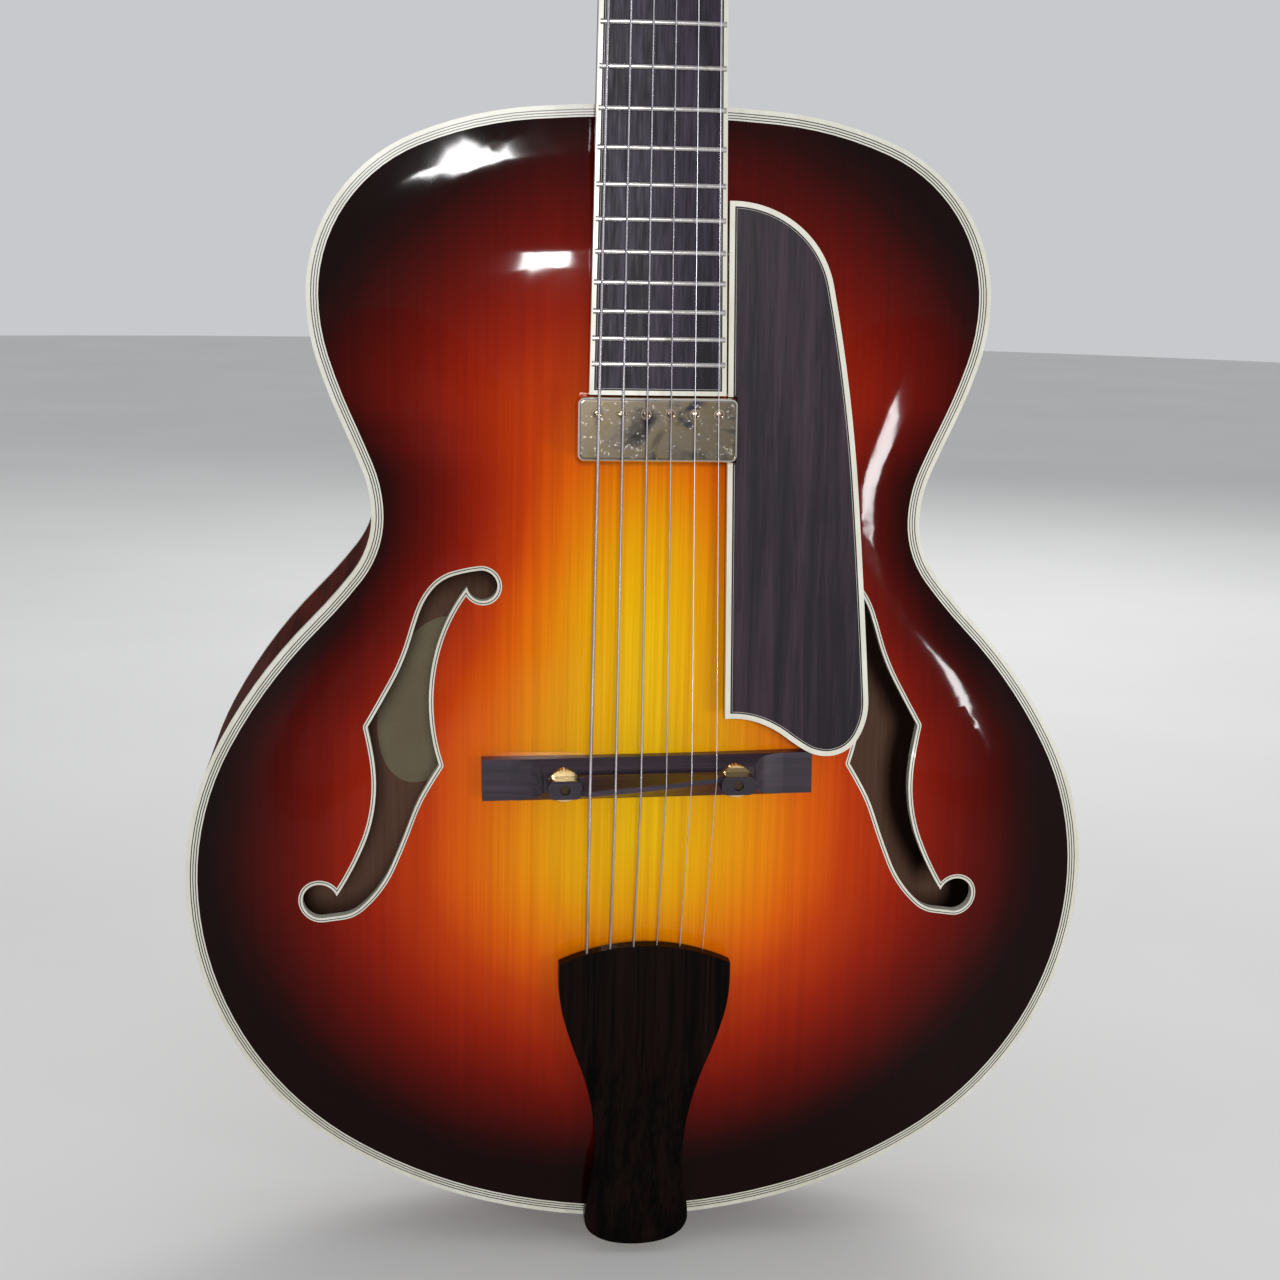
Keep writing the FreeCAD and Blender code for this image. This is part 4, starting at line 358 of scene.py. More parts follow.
# Colours of the spray from the burst's middle to the edge.
TOP_SPRAY: Stops = [
    (0.0, paint(222, 178, 6)), (0.2, paint(218, 152, 4)), (0.31, paint(214, 120, 3)),
    (0.4, paint(206, 90, 3)), (0.5, paint(178, 56, 4)), (0.64, paint(142, 29, 3)),
    (0.76, paint(104, 13, 2)), (0.86, paint(72, 6, 2)), (0.94, paint(38, 3, 2)), (1.0, paint(18, 3, 2))]
BACK_SPRAY: Stops = [
    (0.0, paint(196, 128, 22)), (0.3, paint(188, 94, 14)), (0.52, paint(150, 46, 8)),
    (0.76, paint(88, 16, 5)), (0.92, paint(38, 6, 3)), (1.0, paint(20, 4, 3))]


@dataclass(frozen=True)
class Lacquered(Finish):
    """Stained wood under gloss lacquer outside, and bare wood on the faces that look into the body."""

    side: Side
    # The bare inside colours are painted darker than the wood of the linings and blocks: painted shade for the
    # dim inside of the body.
    bare: Colour = paint(116, 86, 72)
    streak: Colour = paint(88, 63, 50)
    gloss: float = 0.23
    body_middle: float = 0.25
    least_reach: float = 0.01
    least_cosine: float = 0.5

    def inside(self, recipe: Recipe) -> Socket:
        """A mask of the faces that look into the body.

        Args:
            recipe: The material's tree.

        Returns:
            A socket that is 1 on bare faces.
        """
        facing = recipe.axes(recipe.facing)
        if self.side is Side.ROUND:
            x, _, z = recipe.axes(recipe.place)
            up = recipe.sum("SUBTRACT", z, self.body_middle)
            outward = recipe.sum("ADD", recipe.sum("MULTIPLY", x, facing[0]),
                                 recipe.sum("MULTIPLY", up, facing[2]))
            return recipe.sum("LESS_THAN", outward, -self.least_reach)
        if self.side is Side.FRONT:
            return recipe.sum("GREATER_THAN", facing[1], self.least_cosine)
        return recipe.sum("LESS_THAN", facing[1], -self.least_cosine)

    def stain(self, recipe: Recipe) -> Socket:
        """The colour under the lacquer."""
        raise NotImplementedError

    def mix_into(self, recipe: Recipe) -> None:
        """Builds the finish's nodes.

        Args:
            recipe: The material's tree.
        """
        mask = self.inside(recipe)
        fibre = recipe.noise((1.0, 1.0, 0.02), scale=700.0, detail=3.0)
        raw = recipe.mix(recipe.spread(fibre, MOST, (0.0, 0.5)), self.bare, self.streak)
        recipe.set(Base_Color=recipe.mix(mask, self.stain(recipe), raw),
                   Roughness=recipe.spread(mask, UNIT, (0.36, 0.75)),
                   Specular_IOR_Level=0.0,
                   Coat_Weight=recipe.spread(mask, UNIT, (self.gloss, 0.0)),
                   Coat_Roughness=0.06, Coat_IOR=1.5)
        recipe.relief(fibre, depth=0.00003, strength=0.12)


@dataclass(frozen=True)
class SunburstSpruce(Lacquered):
    """Straight-grained spruce, sprayed from amber in the middle to near black at the edge."""

    line: Colour = paint(238, 224, 208)

    def stain(self, recipe: Recipe) -> Socket:
        """The colour under the lacquer.

        Args:
            recipe: The material's tree.

        Returns:
            The colour's socket.
        """
        spray = recipe.ramp(BURST.share(recipe), TOP_SPRAY)
        broad = recipe.noise((1.0, 0.2, 0.006), scale=420.0, rough=0.6)
        fine = recipe.noise((1.0, 0.2, 0.01), scale=1500.0)
        depth = recipe.spread(recipe.weighed(broad, fine, share=0.65), (0.36, 0.62))
        return recipe.mix(depth, recipe.mix(1.0, spray, self.line, "MULTIPLY"), spray)


@dataclass(frozen=True)
class FlamedMaple(Lacquered):
    """Maple with flames across its grain under a dark stain, with or without a burst."""

    burst: bool = False
    flame: Triple = (1.0, 0.06, 1.0)
    light: Colour = paint(88, 25, 9)
    dark: Colour = paint(56, 12, 5)
    shade: Colour = paint(212, 178, 158)

    def stain(self, recipe: Recipe) -> Socket:
        """The colour under the lacquer.

        Args:
            recipe: The material's tree.

        Returns:
            The colour's socket.
        """
        depth = recipe.spread(recipe.noise(self.flame, scale=150.0, twist=0.4), (0.34, 0.66))
        if not self.burst:
            return recipe.mix(depth, self.dark, self.light)
        spray = recipe.ramp(BURST.share(recipe), BACK_SPRAY)
        return recipe.mix(depth, recipe.mix(1.0, spray, self.shade, "MULTIPLY"), spray)


@dataclass(frozen=True)
class BareWood(Finish):
    """Plain unfinished wood inside the body."""

    grain: Grain
    light: Colour = paint(196, 160, 112)
    dark: Colour = paint(150, 112, 72)

    def mix_into(self, recipe: Recipe) -> None:
        """Builds the finish's nodes.

        Args:
            recipe: The material's tree.
        """
        fibre = recipe.noise(self.grain.value, scale=420.0, detail=3.0, rough=0.6)
        recipe.set(Base_Color=recipe.mix(recipe.spread(fibre, MOST), self.dark, self.light),
                   Roughness=recipe.spread(fibre, NEARLY_ALL, (0.62, 0.82)))
        recipe.relief(fibre, depth=0.0001, strength=0.4)


@dataclass(frozen=True)
class Ebony(Finish):
    """Ebony with brown and grey streaks along its grain, oiled or polished."""

    grain: Grain
    dark: Colour
    light: Colour
    rough: float
    shine: float
    streak: float = 0.9
    polish: float = 0.0

    def mix_into(self, recipe: Recipe) -> None:
        """Builds the finish's nodes.

        Args:
            recipe: The material's tree.
        """
        broad = recipe.noise(self.grain.value, scale=150.0, detail=3.0, rough=0.6, twist=0.4)
        fine = recipe.noise(self.grain.value, scale=900.0, detail=3.0, rough=0.6)
        streaks = recipe.weighed(broad, fine, share=0.6)
        depth = recipe.spread(streaks, (0.42, 0.68), (0.0, self.streak))
        recipe.set(Base_Color=recipe.mix(depth, self.dark, self.light),
                   Roughness=recipe.spread(fine, MOST, (self.rough + 0.07, self.rough - 0.05)),
                   Specular_IOR_Level=self.shine, Coat_Weight=self.polish, Coat_Roughness=0.12)
        recipe.relief(fine, depth=0.00006, strength=0.35)


@dataclass(frozen=True)
class Celluloid(Finish):
    """Binding stock: a hard plastic, faintly streaked and yellowed, polished with the body."""

    light: Colour
    dark: Colour
    rough: float = 0.28

    def mix_into(self, recipe: Recipe) -> None:
        """Builds the finish's nodes.

        Args:
            recipe: The material's tree.
        """
        streak = recipe.noise((1.0, 1.0, 0.2), scale=260.0, detail=3.0, rough=0.6, twist=0.5)
        cloud = recipe.noise(EVEN, scale=18.0)
        depth = recipe.spread(recipe.weighed(streak, cloud, share=0.5), (0.36, 0.64))
        recipe.set(Base_Color=recipe.mix(depth, self.light, self.dark),
                   Roughness=recipe.spread(cloud, MOST, (self.rough - 0.05, self.rough + 0.08)),
                   Coat_Weight=0.35, Coat_Roughness=0.08)
        recipe.relief(streak, depth=0.00002, strength=0.15)


@dataclass(frozen=True)
class Metal(Finish):
    """A metal with a bright and a worn colour, in so many patches to the metre; on the plated covers the worn
    colour is a painted dark reflection.
    """

    bright: Colour
    worn_and_dark_reflection: Colour
    rough: float
    patch: float = 90.0


@dataclass(frozen=True)
class Plate(Metal):
    """A metal with a thin plating, rubbed and dulled in places."""

    wear: float = 0.4

    def mix_into(self, recipe: Recipe) -> None:
        """Builds the finish's nodes.

        Args:
            recipe: The material's tree.
        """
        cloud = recipe.noise(EVEN, scale=self.patch, detail=4.0, rough=0.62, twist=0.4)
        scuff = recipe.noise((1.0, 1.0, 0.05), scale=1600.0)
        rubbed = recipe.spread(cloud, (0.62 - 0.3 * self.wear, 0.72))
        dull = recipe.sum("ADD", recipe.spread(cloud, MOST, (self.rough - 0.05, self.rough + 0.12)),
                          recipe.spread(scuff, MOST, (-0.03, 0.03)))
        recipe.set(Base_Color=recipe.mix(rubbed, self.bright, self.worn_and_dark_reflection), Metallic=1.0, Roughness=dull)
        recipe.relief(scuff, depth=0.00001, strength=0.1)


@dataclass(frozen=True)
class WornCoverPaintedLight(Metal):
    """A plated cover: a dulled flat face with painted dark reflections in its patches, painted highlights on
    the rounded edges, and sides that are still golden.
    """

    # The colour of the painted highlight on the rounded edges, also used for small bright spots on the face.
    edge: Colour = paint(236, 230, 224)
    side: Colour = paint(196, 162, 84)
    tarnish: Colour = paint(96, 86, 66)

    def mix_into(self, recipe: Recipe) -> None:
        """Builds the finish's nodes.

        Args:
            recipe: The material's tree.
        """
        cloud = recipe.noise((1.0, 0.2, 1.4), scale=self.patch, detail=3.0, rough=0.6, twist=0.6)
        spots = recipe.noise(EVEN, scale=520.0, detail=3.0, rough=0.7)
        # The face runs through patches of worn, bright and tarnished colour; the darkest patches are a painted
        # dark reflection of the room.
        face = recipe.ramp(cloud, [
            (0.32, self.worn_and_dark_reflection), (0.5, self.bright), (0.62, self.tarnish), (0.72, self.worn_and_dark_reflection)])
        dotted = recipe.mix(recipe.spread(spots, (0.6, 0.72), (0.0, 0.6)), face, self.edge)
        # Faces turned away from the front, the rounded edges, take the edge colour as a painted highlight; the
        # sides stay golden.
        front = recipe.sum("MULTIPLY", recipe.axes(recipe.facing)[1], -1.0)
        rim = recipe.mix(recipe.spread(front, (0.8, 0.985)), self.edge, dotted)
        recipe.set(Base_Color=recipe.mix(recipe.spread(front, (0.2, 0.45)), self.side, rim), Metallic=1.0,
                   Roughness=recipe.spread(cloud, MOST, (self.rough, self.rough + 0.1)))
        recipe.relief(spots, depth=0.00002, strength=0.12)


@dataclass(frozen=True)
class Winding(Finish):
    """String metal: plain drawn wire, or wire wound round a core with its turns showing."""

    bright: Colour
    dark: Colour
    pitch: float = 0.0

    def mix_into(self, recipe: Recipe) -> None:
        """Builds the finish's nodes.

        Args:
            recipe: The material's tree.
        """
        smear = recipe.noise((1.0, 1.0, 0.1), scale=240.0)
        colour = recipe.mix(recipe.spread(smear, MOST, (0.0, 0.6)), self.bright, self.dark)
        if self.pitch:
            _, _, z = recipe.axes(recipe.place)
            turn = recipe.sum("SINE", recipe.sum("MULTIPLY", z, math.tau / self.pitch))
            ridge = recipe.spread(turn, (-1.0, 1.0))
            # Towards the bottom of each groove between the turns the colour goes to the dark one: painted
            # shade in the grooves.
            colour = recipe.mix(recipe.spread(ridge, (0.0, 0.5), (0.55, 0.0)), colour, self.dark)
            recipe.relief(ridge, depth=self.pitch / 4, strength=0.6)
        recipe.set(Base_Color=colour, Metallic=1.0, Roughness=recipe.spread(smear, NEARLY_ALL, (0.24, 0.36)))


@dataclass(frozen=True)
class Paper(Finish):
    """A blank paper label, browned with age, and painted darker for the shade inside the body."""

    # These colours are painted darker than the paper itself: painted shade for the dim inside of the body.
    pale: Colour = paint(136, 125, 100)
    brown: Colour = paint(122, 108, 82)
    thread: Colour = paint(112, 94, 70)

    def mix_into(self, recipe: Recipe) -> None:
        """Builds the finish's nodes.

        Args:
            recipe: The material's tree.
        """
        fibre = recipe.noise(EVEN, scale=900.0, detail=4.0, rough=0.7)
        age = recipe.noise(EVEN, scale=30.0)
        colour = recipe.mix(recipe.spread(age, MOST), self.pale, self.brown)
        recipe.set(Base_Color=recipe.mix(recipe.spread(fibre, (0.4, 0.8), (0.0, 0.3)), colour, self.thread),
                   Roughness=recipe.spread(fibre, NEARLY_ALL, (0.8, 0.95)))
        recipe.relief(fibre, depth=0.00005, strength=0.5)


TOP_FINISH = SunburstSpruce("sunburst_spruce", Side.FRONT)
BACK_FINISH = FlamedMaple("burst_maple_back", Side.BACK, burst=True, flame=(0.07, 0.3, 1.0))
RIB_FINISH = FlamedMaple("flamed_maple_ribs", Side.ROUND, gloss=0.04)
NECK_FINISH = FlamedMaple("stained_maple_neck", Side.BACK, bare=paint(84, 26, 10), flame=(0.12, 0.12, 1.0))
INNER_UPRIGHT = BareWood("bare_wood_upright", Grain.UPRIGHT)
INNER_DEEP = BareWood("bare_wood_deep", Grain.DEEP)
# The fingerboard's, pickguard's and bridge's ebony is painted lighter than the tailpiece's and tinted violet:
# a painted sheen that stands for the reflection of a bluish room.
BOARD_EBONY = Ebony("oiled_ebony_board_painted_sheen", Grain.UPRIGHT, paint(25, 21, 29), paint(62, 53, 70),
                    rough=0.4, shine=0.1, streak=1.0)
GUARD_EBONY = Ebony("oiled_ebony_guard_painted_sheen", Grain.UPRIGHT, paint(26, 20, 28), paint(62, 46, 56),
                    rough=0.36, shine=0.13)
BRIDGE_EBONY = Ebony("oiled_ebony_bridge_painted_sheen", Grain.ACROSS, paint(25, 17, 27), paint(64, 48, 64),
                     rough=0.3, shine=0.42)
BLACK_EBONY = Ebony("polished_ebony", Grain.UPRIGHT, paint(4, 3, 3), paint(27, 15, 12),
                    rough=0.28, shine=0.02, polish=0.03)
IVOROID = Celluloid("aged_ivoroid", paint(208, 207, 196), paint(192, 189, 172))
BLACK_PLY = Celluloid("black_ply", paint(18, 15, 16), paint(34, 29, 30))
BLACK_PLASTIC = Celluloid("black_plastic", paint(14, 13, 14), paint(26, 24, 25), rough=0.4)
BONE = Celluloid("bone", paint(222, 212, 188), paint(198, 182, 150), rough=0.34)
LABEL_PAPER = Paper("label_paper")
NICKEL = Plate("nickel_plate", paint(196, 192, 188), paint(142, 134, 126), rough=0.2, wear=0.3)
FRET_WIRE = Plate("nickel_silver", paint(190, 186, 184), paint(150, 144, 138), rough=0.24, patch=220.0,
                  wear=0.3)
# The pickup cover and its pole screws carry painted light: painted highlights on their rounded edges and
# painted dark reflections in the patches of their faces.
WORN_GOLD_PAINTED_LIGHT = WornCoverPaintedLight("worn_gold_plate_painted_light", paint(112, 103, 90), paint(44, 44, 52), rough=0.12, patch=46.0)
POLE_PLATE_PAINTED_LIGHT = WornCoverPaintedLight("pole_plate_painted_light", paint(112, 94, 80), paint(72, 58, 50), rough=0.14, patch=300.0,
                          edge=paint(222, 204, 178))
GOLD = Plate("gold_plate", paint(204, 170, 104), paint(172, 150, 112), rough=0.2)
BRASS = Plate("brass", paint(170, 156, 140), paint(132, 116, 98), rough=0.24, patch=160.0, wear=0.5)
DARK_BRASS = Plate("blackened_brass", paint(66, 56, 44), paint(38, 32, 26), rough=0.4, patch=400.0, wear=0.6)
STEEL = Plate("steel", paint(150, 150, 152), paint(104, 104, 106), rough=0.3)
WOUND_WIRE = Winding("wound_wire", paint(214, 210, 218), paint(128, 122, 130), pitch=0.0009)
PLAIN_WIRE = Winding("plain_wire", paint(218, 216, 224), paint(170, 168, 176))


def merged(node: str) -> bmesh.types.BMesh:
    """A copy of a CAD node's mesh whose triangles share their points.

    Args:
        node: The node's name.

    Returns:
        The copy, which its user frees.
    """
    work = bmesh.new()
    work.from_mesh(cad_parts[node].data)
    bmesh.ops.remove_doubles(work, verts=work.verts, dist=MERGE_DISTANCE)
    return work


def finished(name: str, mesh: Mesh, replaced: str | None = None) -> bpy.types.Object:
    """Puts a finished mesh into the scene as a piece.

    Args:
        name: The piece's name.
        mesh: Its mesh, in place in the frame.
        replaced: The CAD node that it stands for.

    Returns:
        The piece, which rides on nothing yet.
    """
    mesh.name = name
    piece = bpy.data.objects.new(name, mesh)
    bpy.context.scene.collection.objects.link(piece)
    if replaced:
        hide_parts(replaced)
    log.info("piece %s has %d faces", name, len(mesh.polygons))
    return piece


def joined(meshes: list[Mesh]) -> Mesh:
    """Makes one mesh out of several with the same material.

    Args:
        meshes: The meshes, which are used up.

    Returns:
        The new mesh.
    """
    work = bmesh.new()
    for mesh in meshes:
        work.from_mesh(mesh)
    bmesh.ops.recalc_face_normals(work, faces=work.faces)
    whole = bpy.data.meshes.new("joined")
    work.to_mesh(whole)
    work.free()
    for material in meshes[0].materials:
        whole.materials.append(material)
    for mesh in meshes:
        bpy.data.meshes.remove(mesh)
    return whole


def polyline(points: list[Vector], closed: bool = False) -> bpy.types.Curve:
    """A curve of straight runs.

    Args:
        points: Its points in metres.
        closed: Whether the last point joins the first.

    Returns:
        The curve.
    """
    curve = bpy.data.curves.new("route", "CURVE")
    curve.dimensions = "3D"
    curve.twist_mode = "MINIMUM"
    spline = curve.splines.new("POLY")
    spline.points.add(len(points) - 1)
    for place, point in zip(points, spline.points):
        point.co = (*place, 1.0)
    spline.use_cyclic_u = closed
    return curve


class Grower(Graph):
    """A Geometry Nodes tree with named inputs, grown on an object and then made a plain mesh."""

    def __init__(self, name: str, numbers: tuple[str, ...]) -> None:
        """Starts a tree.

        Args:
            name: The tree's name.
            numbers: Names of its number inputs.
        """
        tree = bpy.data.node_groups.new(name, "GeometryNodeTree")
        super().__init__(tree)
        kinds = {"Geometry": "Geometry"} | dict.fromkeys(numbers, "Float") | {"Finish": "Material"}
        for label, kind in kinds.items():
            tree.interface.new_socket(label, in_out="INPUT", socket_type="NodeSocket" + kind)
        tree.interface.new_socket("Geometry", in_out="OUTPUT", socket_type="NodeSocketGeometry")
        self.inputs = self.add("NodeGroupInput").outputs

    def sweep(self, curve: Socket, section: bpy.types.Node) -> None:
        """Ends the tree with what a node draws as the section, swept along a curve, its ends closed."""
        tube = self.add("GeometryNodeCurveToMesh", {
            "Curve": curve, "Profile Curve": section.outputs[0], "Fill Caps": True})
        self.close(tube.outputs[0])

    def close(self, geometry: Socket) -> None:
        """Ends the tree: instances made real, shading smooth, finish set.

        Args:
            geometry: What the tree has made.
        """
        real = self.add("GeometryNodeRealizeInstances", {0: geometry})
        smooth = self.add("GeometryNodeSetShadeSmooth", {"Geometry": real.outputs[0], "Shade Smooth": True})
        coated = self.add("GeometryNodeSetMaterial", {
            "Geometry": smooth.outputs[0], "Material": self.inputs["Finish"]})
        self.add("NodeGroupOutput", {0: coated.outputs[0]})

    def grow(self, seed: bpy.types.ID, values: dict[str, Any]) -> Mesh:
        """Runs the tree on a curve or mesh.

        Args:
            seed: The curve or mesh data that it starts from, which is used up.
            values: What goes into the named inputs.

        Returns:
            The result as a plain mesh.
        """
        holder = bpy.data.objects.new("grower", seed)
        bpy.context.scene.collection.objects.link(holder)
        modifier = holder.modifiers.new("grower", "NODES")
        modifier.node_group = self.tree
        for item in self.tree.interface.items_tree:
            if item.in_out == "INPUT" and item.name in values:
                modifier[item.identifier] = values[item.name]
        bpy.context.view_layer.update()
        graph = bpy.context.evaluated_depsgraph_get()
        mesh = bpy.data.meshes.new_from_object(holder.evaluated_get(graph), depsgraph=graph)
        holder.modifiers.remove(modifier)
        bpy.data.objects.remove(holder)
        return mesh


class TubeGrower(Grower):
    """Sweeps a round section along a curve and closes its ends."""

    def __init__(self) -> None:
        """Builds the tree."""
        super().__init__("round_sweep", ("Radius", "Sides"))
        ring = self.add("GeometryNodeCurvePrimitiveCircle", {
            "Radius": self.inputs["Radius"], "Resolution": self.inputs["Sides"]})
        self.sweep(self.inputs["Geometry"], ring)


class StripGrower(Grower):
    """Sweeps a flat section along a curve, its broad face towards the front."""

    def __init__(self) -> None:
        """Builds the tree."""
        super().__init__("flat_sweep", ("Width", "Thickness"))
        bar = self.add("GeometryNodeCurvePrimitiveQuadrilateral", {
            "Width": self.inputs["Width"], "Height": self.inputs["Thickness"]})
        faced = self.add("GeometryNodeSetCurveNormal", {
            "Curve": self.inputs["Geometry"], "Normal": (0.0, -1.0, 0.0)}, mode="FREE")
        self.sweep(faced.outputs[0], bar)


class ScrewGrower(Grower):
    """Sets a slotted round-head screw on every point, along the point's axis."""

    def __init__(self) -> None:
        """Builds the tree."""
        super().__init__("slotted_screws", (
            "Head radius", "Head height", "Shank radius", "Shank length", "Slot width"))
        axis = self.add("GeometryNodeInputNamedAttribute", {"Name": "axis"}, data_type="FLOAT_VECTOR")
        aim = self.add("FunctionNodeAlignRotationToVector", {"Vector": axis.outputs[0]}, axis="Z")
        turn = self.add("FunctionNodeRandomValue", {"Min": 0.0, "Max": math.pi, "Seed": 7}, data_type="FLOAT")
        spin = self.add("FunctionNodeAxisAngleToRotation", {
            "Axis": (0.0, 0.0, 1.0), "Angle": turn.outputs[1]})
        both = self.add("FunctionNodeRotateRotation", {
            "Rotation": aim.outputs[0], "Rotate By": spin.outputs[0]}, rotation_space="LOCAL")
        points = self.add("GeometryNodeMeshToPoints", {"Mesh": self.inputs["Geometry"]})
        placed = self.add("GeometryNodeInstanceOnPoints", {
            "Points": points.outputs[0], "Instance": self.screw(), "Rotation": both.outputs[0]})
        self.close(placed.outputs[0])

    def screw(self) -> Socket:
        """Draws one screw: a flattened ball on a shank, with a slot across the whole head.

        Returns:
            The screw's socket.
        """
        radius, height = self.inputs["Head radius"], self.inputs["Head height"]
        ball = self.add("GeometryNodeMeshUVSphere", {"Segments": 28, "Rings": 14, "Radius": 1.0})
        head = self.moved(ball, Scale=self.vector(radius, radius, height))
        groove = self.vector(self.inputs["Slot width"], self.sum("MULTIPLY", radius, 4.0), height)
        bar = self.add("GeometryNodeMeshCube", {"Size": groove})
        cutter = self.moved(bar, Translation=self.vector(z=height))
        length = self.inputs["Shank length"]
        rod = self.add("GeometryNodeMeshCylinder", {
            "Vertices": 20, "Radius": self.inputs["Shank radius"], "Depth": length})
        shank = self.moved(rod, Translation=self.vector(z=self.sum("MULTIPLY", length, -0.5)))
        whole = self.add("GeometryNodeMeshBoolean", {"Mesh 2": head}, operation="UNION", solver="EXACT")
        self.feed(whole.inputs["Mesh 2"], shank)
        return self.add("GeometryNodeMeshBoolean", {"Mesh 1": whole.outputs[0], "Mesh 2": cutter},
                        operation="DIFFERENCE", solver="EXACT").outputs[0]

    def vector(self, x: Any = 0.0, y: Any = 0.0, z: Any = 0.0) -> Socket:
        """A vector of three sockets or numbers."""
        return self.add("ShaderNodeCombineXYZ", {0: x, 1: y, 2: z}).outputs[0]

    def moved(self, shape: bpy.types.Node, **change: Socket) -> Socket:
        """What a node draws, moved or scaled."""
        return self.add("GeometryNodeTransform", {"Geometry": shape.outputs[0], **change}).outputs[0]


Finishes = dict[str, Finish]


def in_finishes(**nodes: Finish) -> Any:
    """A field that holds each node's finish."""
    return field(default_factory=lambda: dict(nodes))


@dataclass
class Dressed:
    """A sub-assembly whose shapes are all in the frame, with the finishes of its nodes."""

    finishes: Finishes

    def build(self) -> None:
        """Gives the nodes their finishes."""
        for name, finish in self.finishes.items():
            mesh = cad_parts[name].data
            mesh.materials.clear()
            mesh.materials.append(finish.material())
            log.info("node %s is finished in %s", name, finish.name)


@dataclass
class Body(Dressed):
    """The hollow body: plates, ribs, linings, bars, edge trim and label."""

    finishes: Finishes = in_finishes(
        top_plate=TOP_FINISH, back_plate=BACK_FINISH, rib_bass=RIB_FINISH, rib_treble=RIB_FINISH,
        neck_block=INNER_DEEP, tail_block=INNER_DEEP, top_lining=INNER_UPRIGHT, back_lining=INNER_UPRIGHT,
        tone_bars=INNER_UPRIGHT, top_binding=IVOROID, back_binding=IVOROID, top_purfling_white=IVOROID,
        top_purfling_black=BLACK_PLY, f_hole_binding=IVOROID, f_hole_purfling=BLACK_PLY,
        paper_label=LABEL_PAPER)


@dataclass
class Neck(Dressed):
    """The neck with its heel, fingerboard, nut, headstock face and truss rod."""

    finishes: Finishes = in_finishes(
        neck=NECK_FINISH, heel_cap=IVOROID, fingerboard=BOARD_EBONY, fingerboard_binding=IVOROID,
        frets=FRET_WIRE, nut=BONE, headstock_veneer=BLACK_EBONY, truss_rod=STEEL, truss_rod_nut=BRASS,
        truss_rod_cover=BLACK_PLASTIC)


@dataclass
class Tuners(Dressed):
    """Six geared tuners."""

    finishes: Finishes = in_finishes(tuner_housings=GOLD, tuner_bushings=GOLD)
    count: int = 6

    def __post_init__(self) -> None:
        """Adds each tuner's key and post."""
        for number in range(1, self.count + 1):
            self.finishes.update({f"tuner_key_{number}": GOLD, f"string_post_{number}": GOLD})


@dataclass
class Pickguard(Dressed):
    """The raised pickguard with the pickup that floats beside it."""

    finishes: Finishes = in_finishes(
        pickguard=GUARD_EBONY, pickguard_binding=IVOROID, pickguard_supports=BLACK_EBONY,
        pickup_cover=WORN_GOLD_PAINTED_LIGHT, pickup_coils=BLACK_PLASTIC, pickup_baseplate=NICKEL,
        pickup_bracket=BLACK_PLASTIC)


@dataclass
class Bridge(Dressed):
    """The two-piece bridge with its height screws."""

    finishes: Finishes = in_finishes(
        bridge_base=BRIDGE_EBONY, bridge_saddle=BRIDGE_EBONY, bridge_studs=DARK_BRASS, thumbwheel_bass=BRASS,
        thumbwheel_treble=BRASS)


@dataclass
class Tail(Dressed):
    """The tailpiece, its hanger and the jack in the tail."""

    finishes: Finishes = in_finishes(
        tailpiece=BLACK_EBONY, tailpiece_hanger=BRASS, end_pin_jack=GOLD, jack_nut=GOLD)


@dataclass
class Screws:
    """Slotted screws where the frame has them, the small wood screws unless told otherwise, in millimetres."""

    name: str = "slotted_screws"
    node: str = "small_screws"
    finish: Finish = NICKEL
    slot: str = "nickel"
    head_radius: float = 2.0
    head_height: float = 1.2
    shank_radius: float = 1.1
    shank_length: float = 7.0
    slot_width: float = 0.5
    end_reach_share: float = 2.9

    def places(self) -> list[tuple[Vector, Vector]]:
        """Finds each screw of the CAD node.

        Returns:
            The seat under each head with the direction out of the wood.
        """
        work = merged(self.node)
        seen: set[int] = set()
        found = []
        for start in work.verts:
            if start.index in seen:
                continue
            island, queue = [], [start]
            seen.add(start.index)
            while queue:
                vertex = queue.pop()
                island.append(vertex.co.copy())
                for edge in vertex.link_edges:
                    other = edge.other_vert(vertex)
                    if other.index not in seen:
                        seen.add(other.index)
                        queue.append(other)
            found.append(self.seat(island))
        work.free()
        return found

    def seat(self, island: list[Vector]) -> tuple[Vector, Vector]:
        """Reads one screw's seat from its points. The wider of its two ends is the head.

        Args:
            island: The screw's points.

        Returns:
            The seat under the head and the direction out of the wood.
        """
        near = self.end_reach_share * self.head_radius * MM
        far = max(island, key=lambda point: (point - island[0]).length)
        other = max(island, key=lambda point: (point - far).length)
        ends = [[point for point in island if (point - tip).length < near] for tip in (far, other)]
        ends.sort(key=lambda end: max((a - b).length for a in end for b in end))
        shank_end, head_end = [sum(end, Vector()) / len(end) for end in ends]
        axis = (head_end - shank_end).normalized()
        top = max(point.dot(axis) for point in island)
        middle = head_end + axis * (top - head_end.dot(axis))
        return middle - axis * (self.head_height * MM), axis

    def build(self) -> None:
        """Makes the screws."""
        seats = self.places()
        seed = bpy.data.meshes.new("seats")
        seed.from_pydata([seat for seat, _ in seats], [], [])
        axes = seed.attributes.new("axis", "FLOAT_VECTOR", "POINT")
        for item, (_, axis) in zip(axes.data, seats):
            item.vector = axis
        mesh = ScrewGrower().grow(seed, {
            "Head radius": self.head_radius * MM, "Head height": self.head_height * MM,
            "Shank radius": self.shank_radius * MM, "Shank length": self.shank_length * MM,
            "Slot width": self.slot_width * MM, "Finish": self.finish.material()})
        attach(finished(self.name, mesh, self.node), GUITAR)


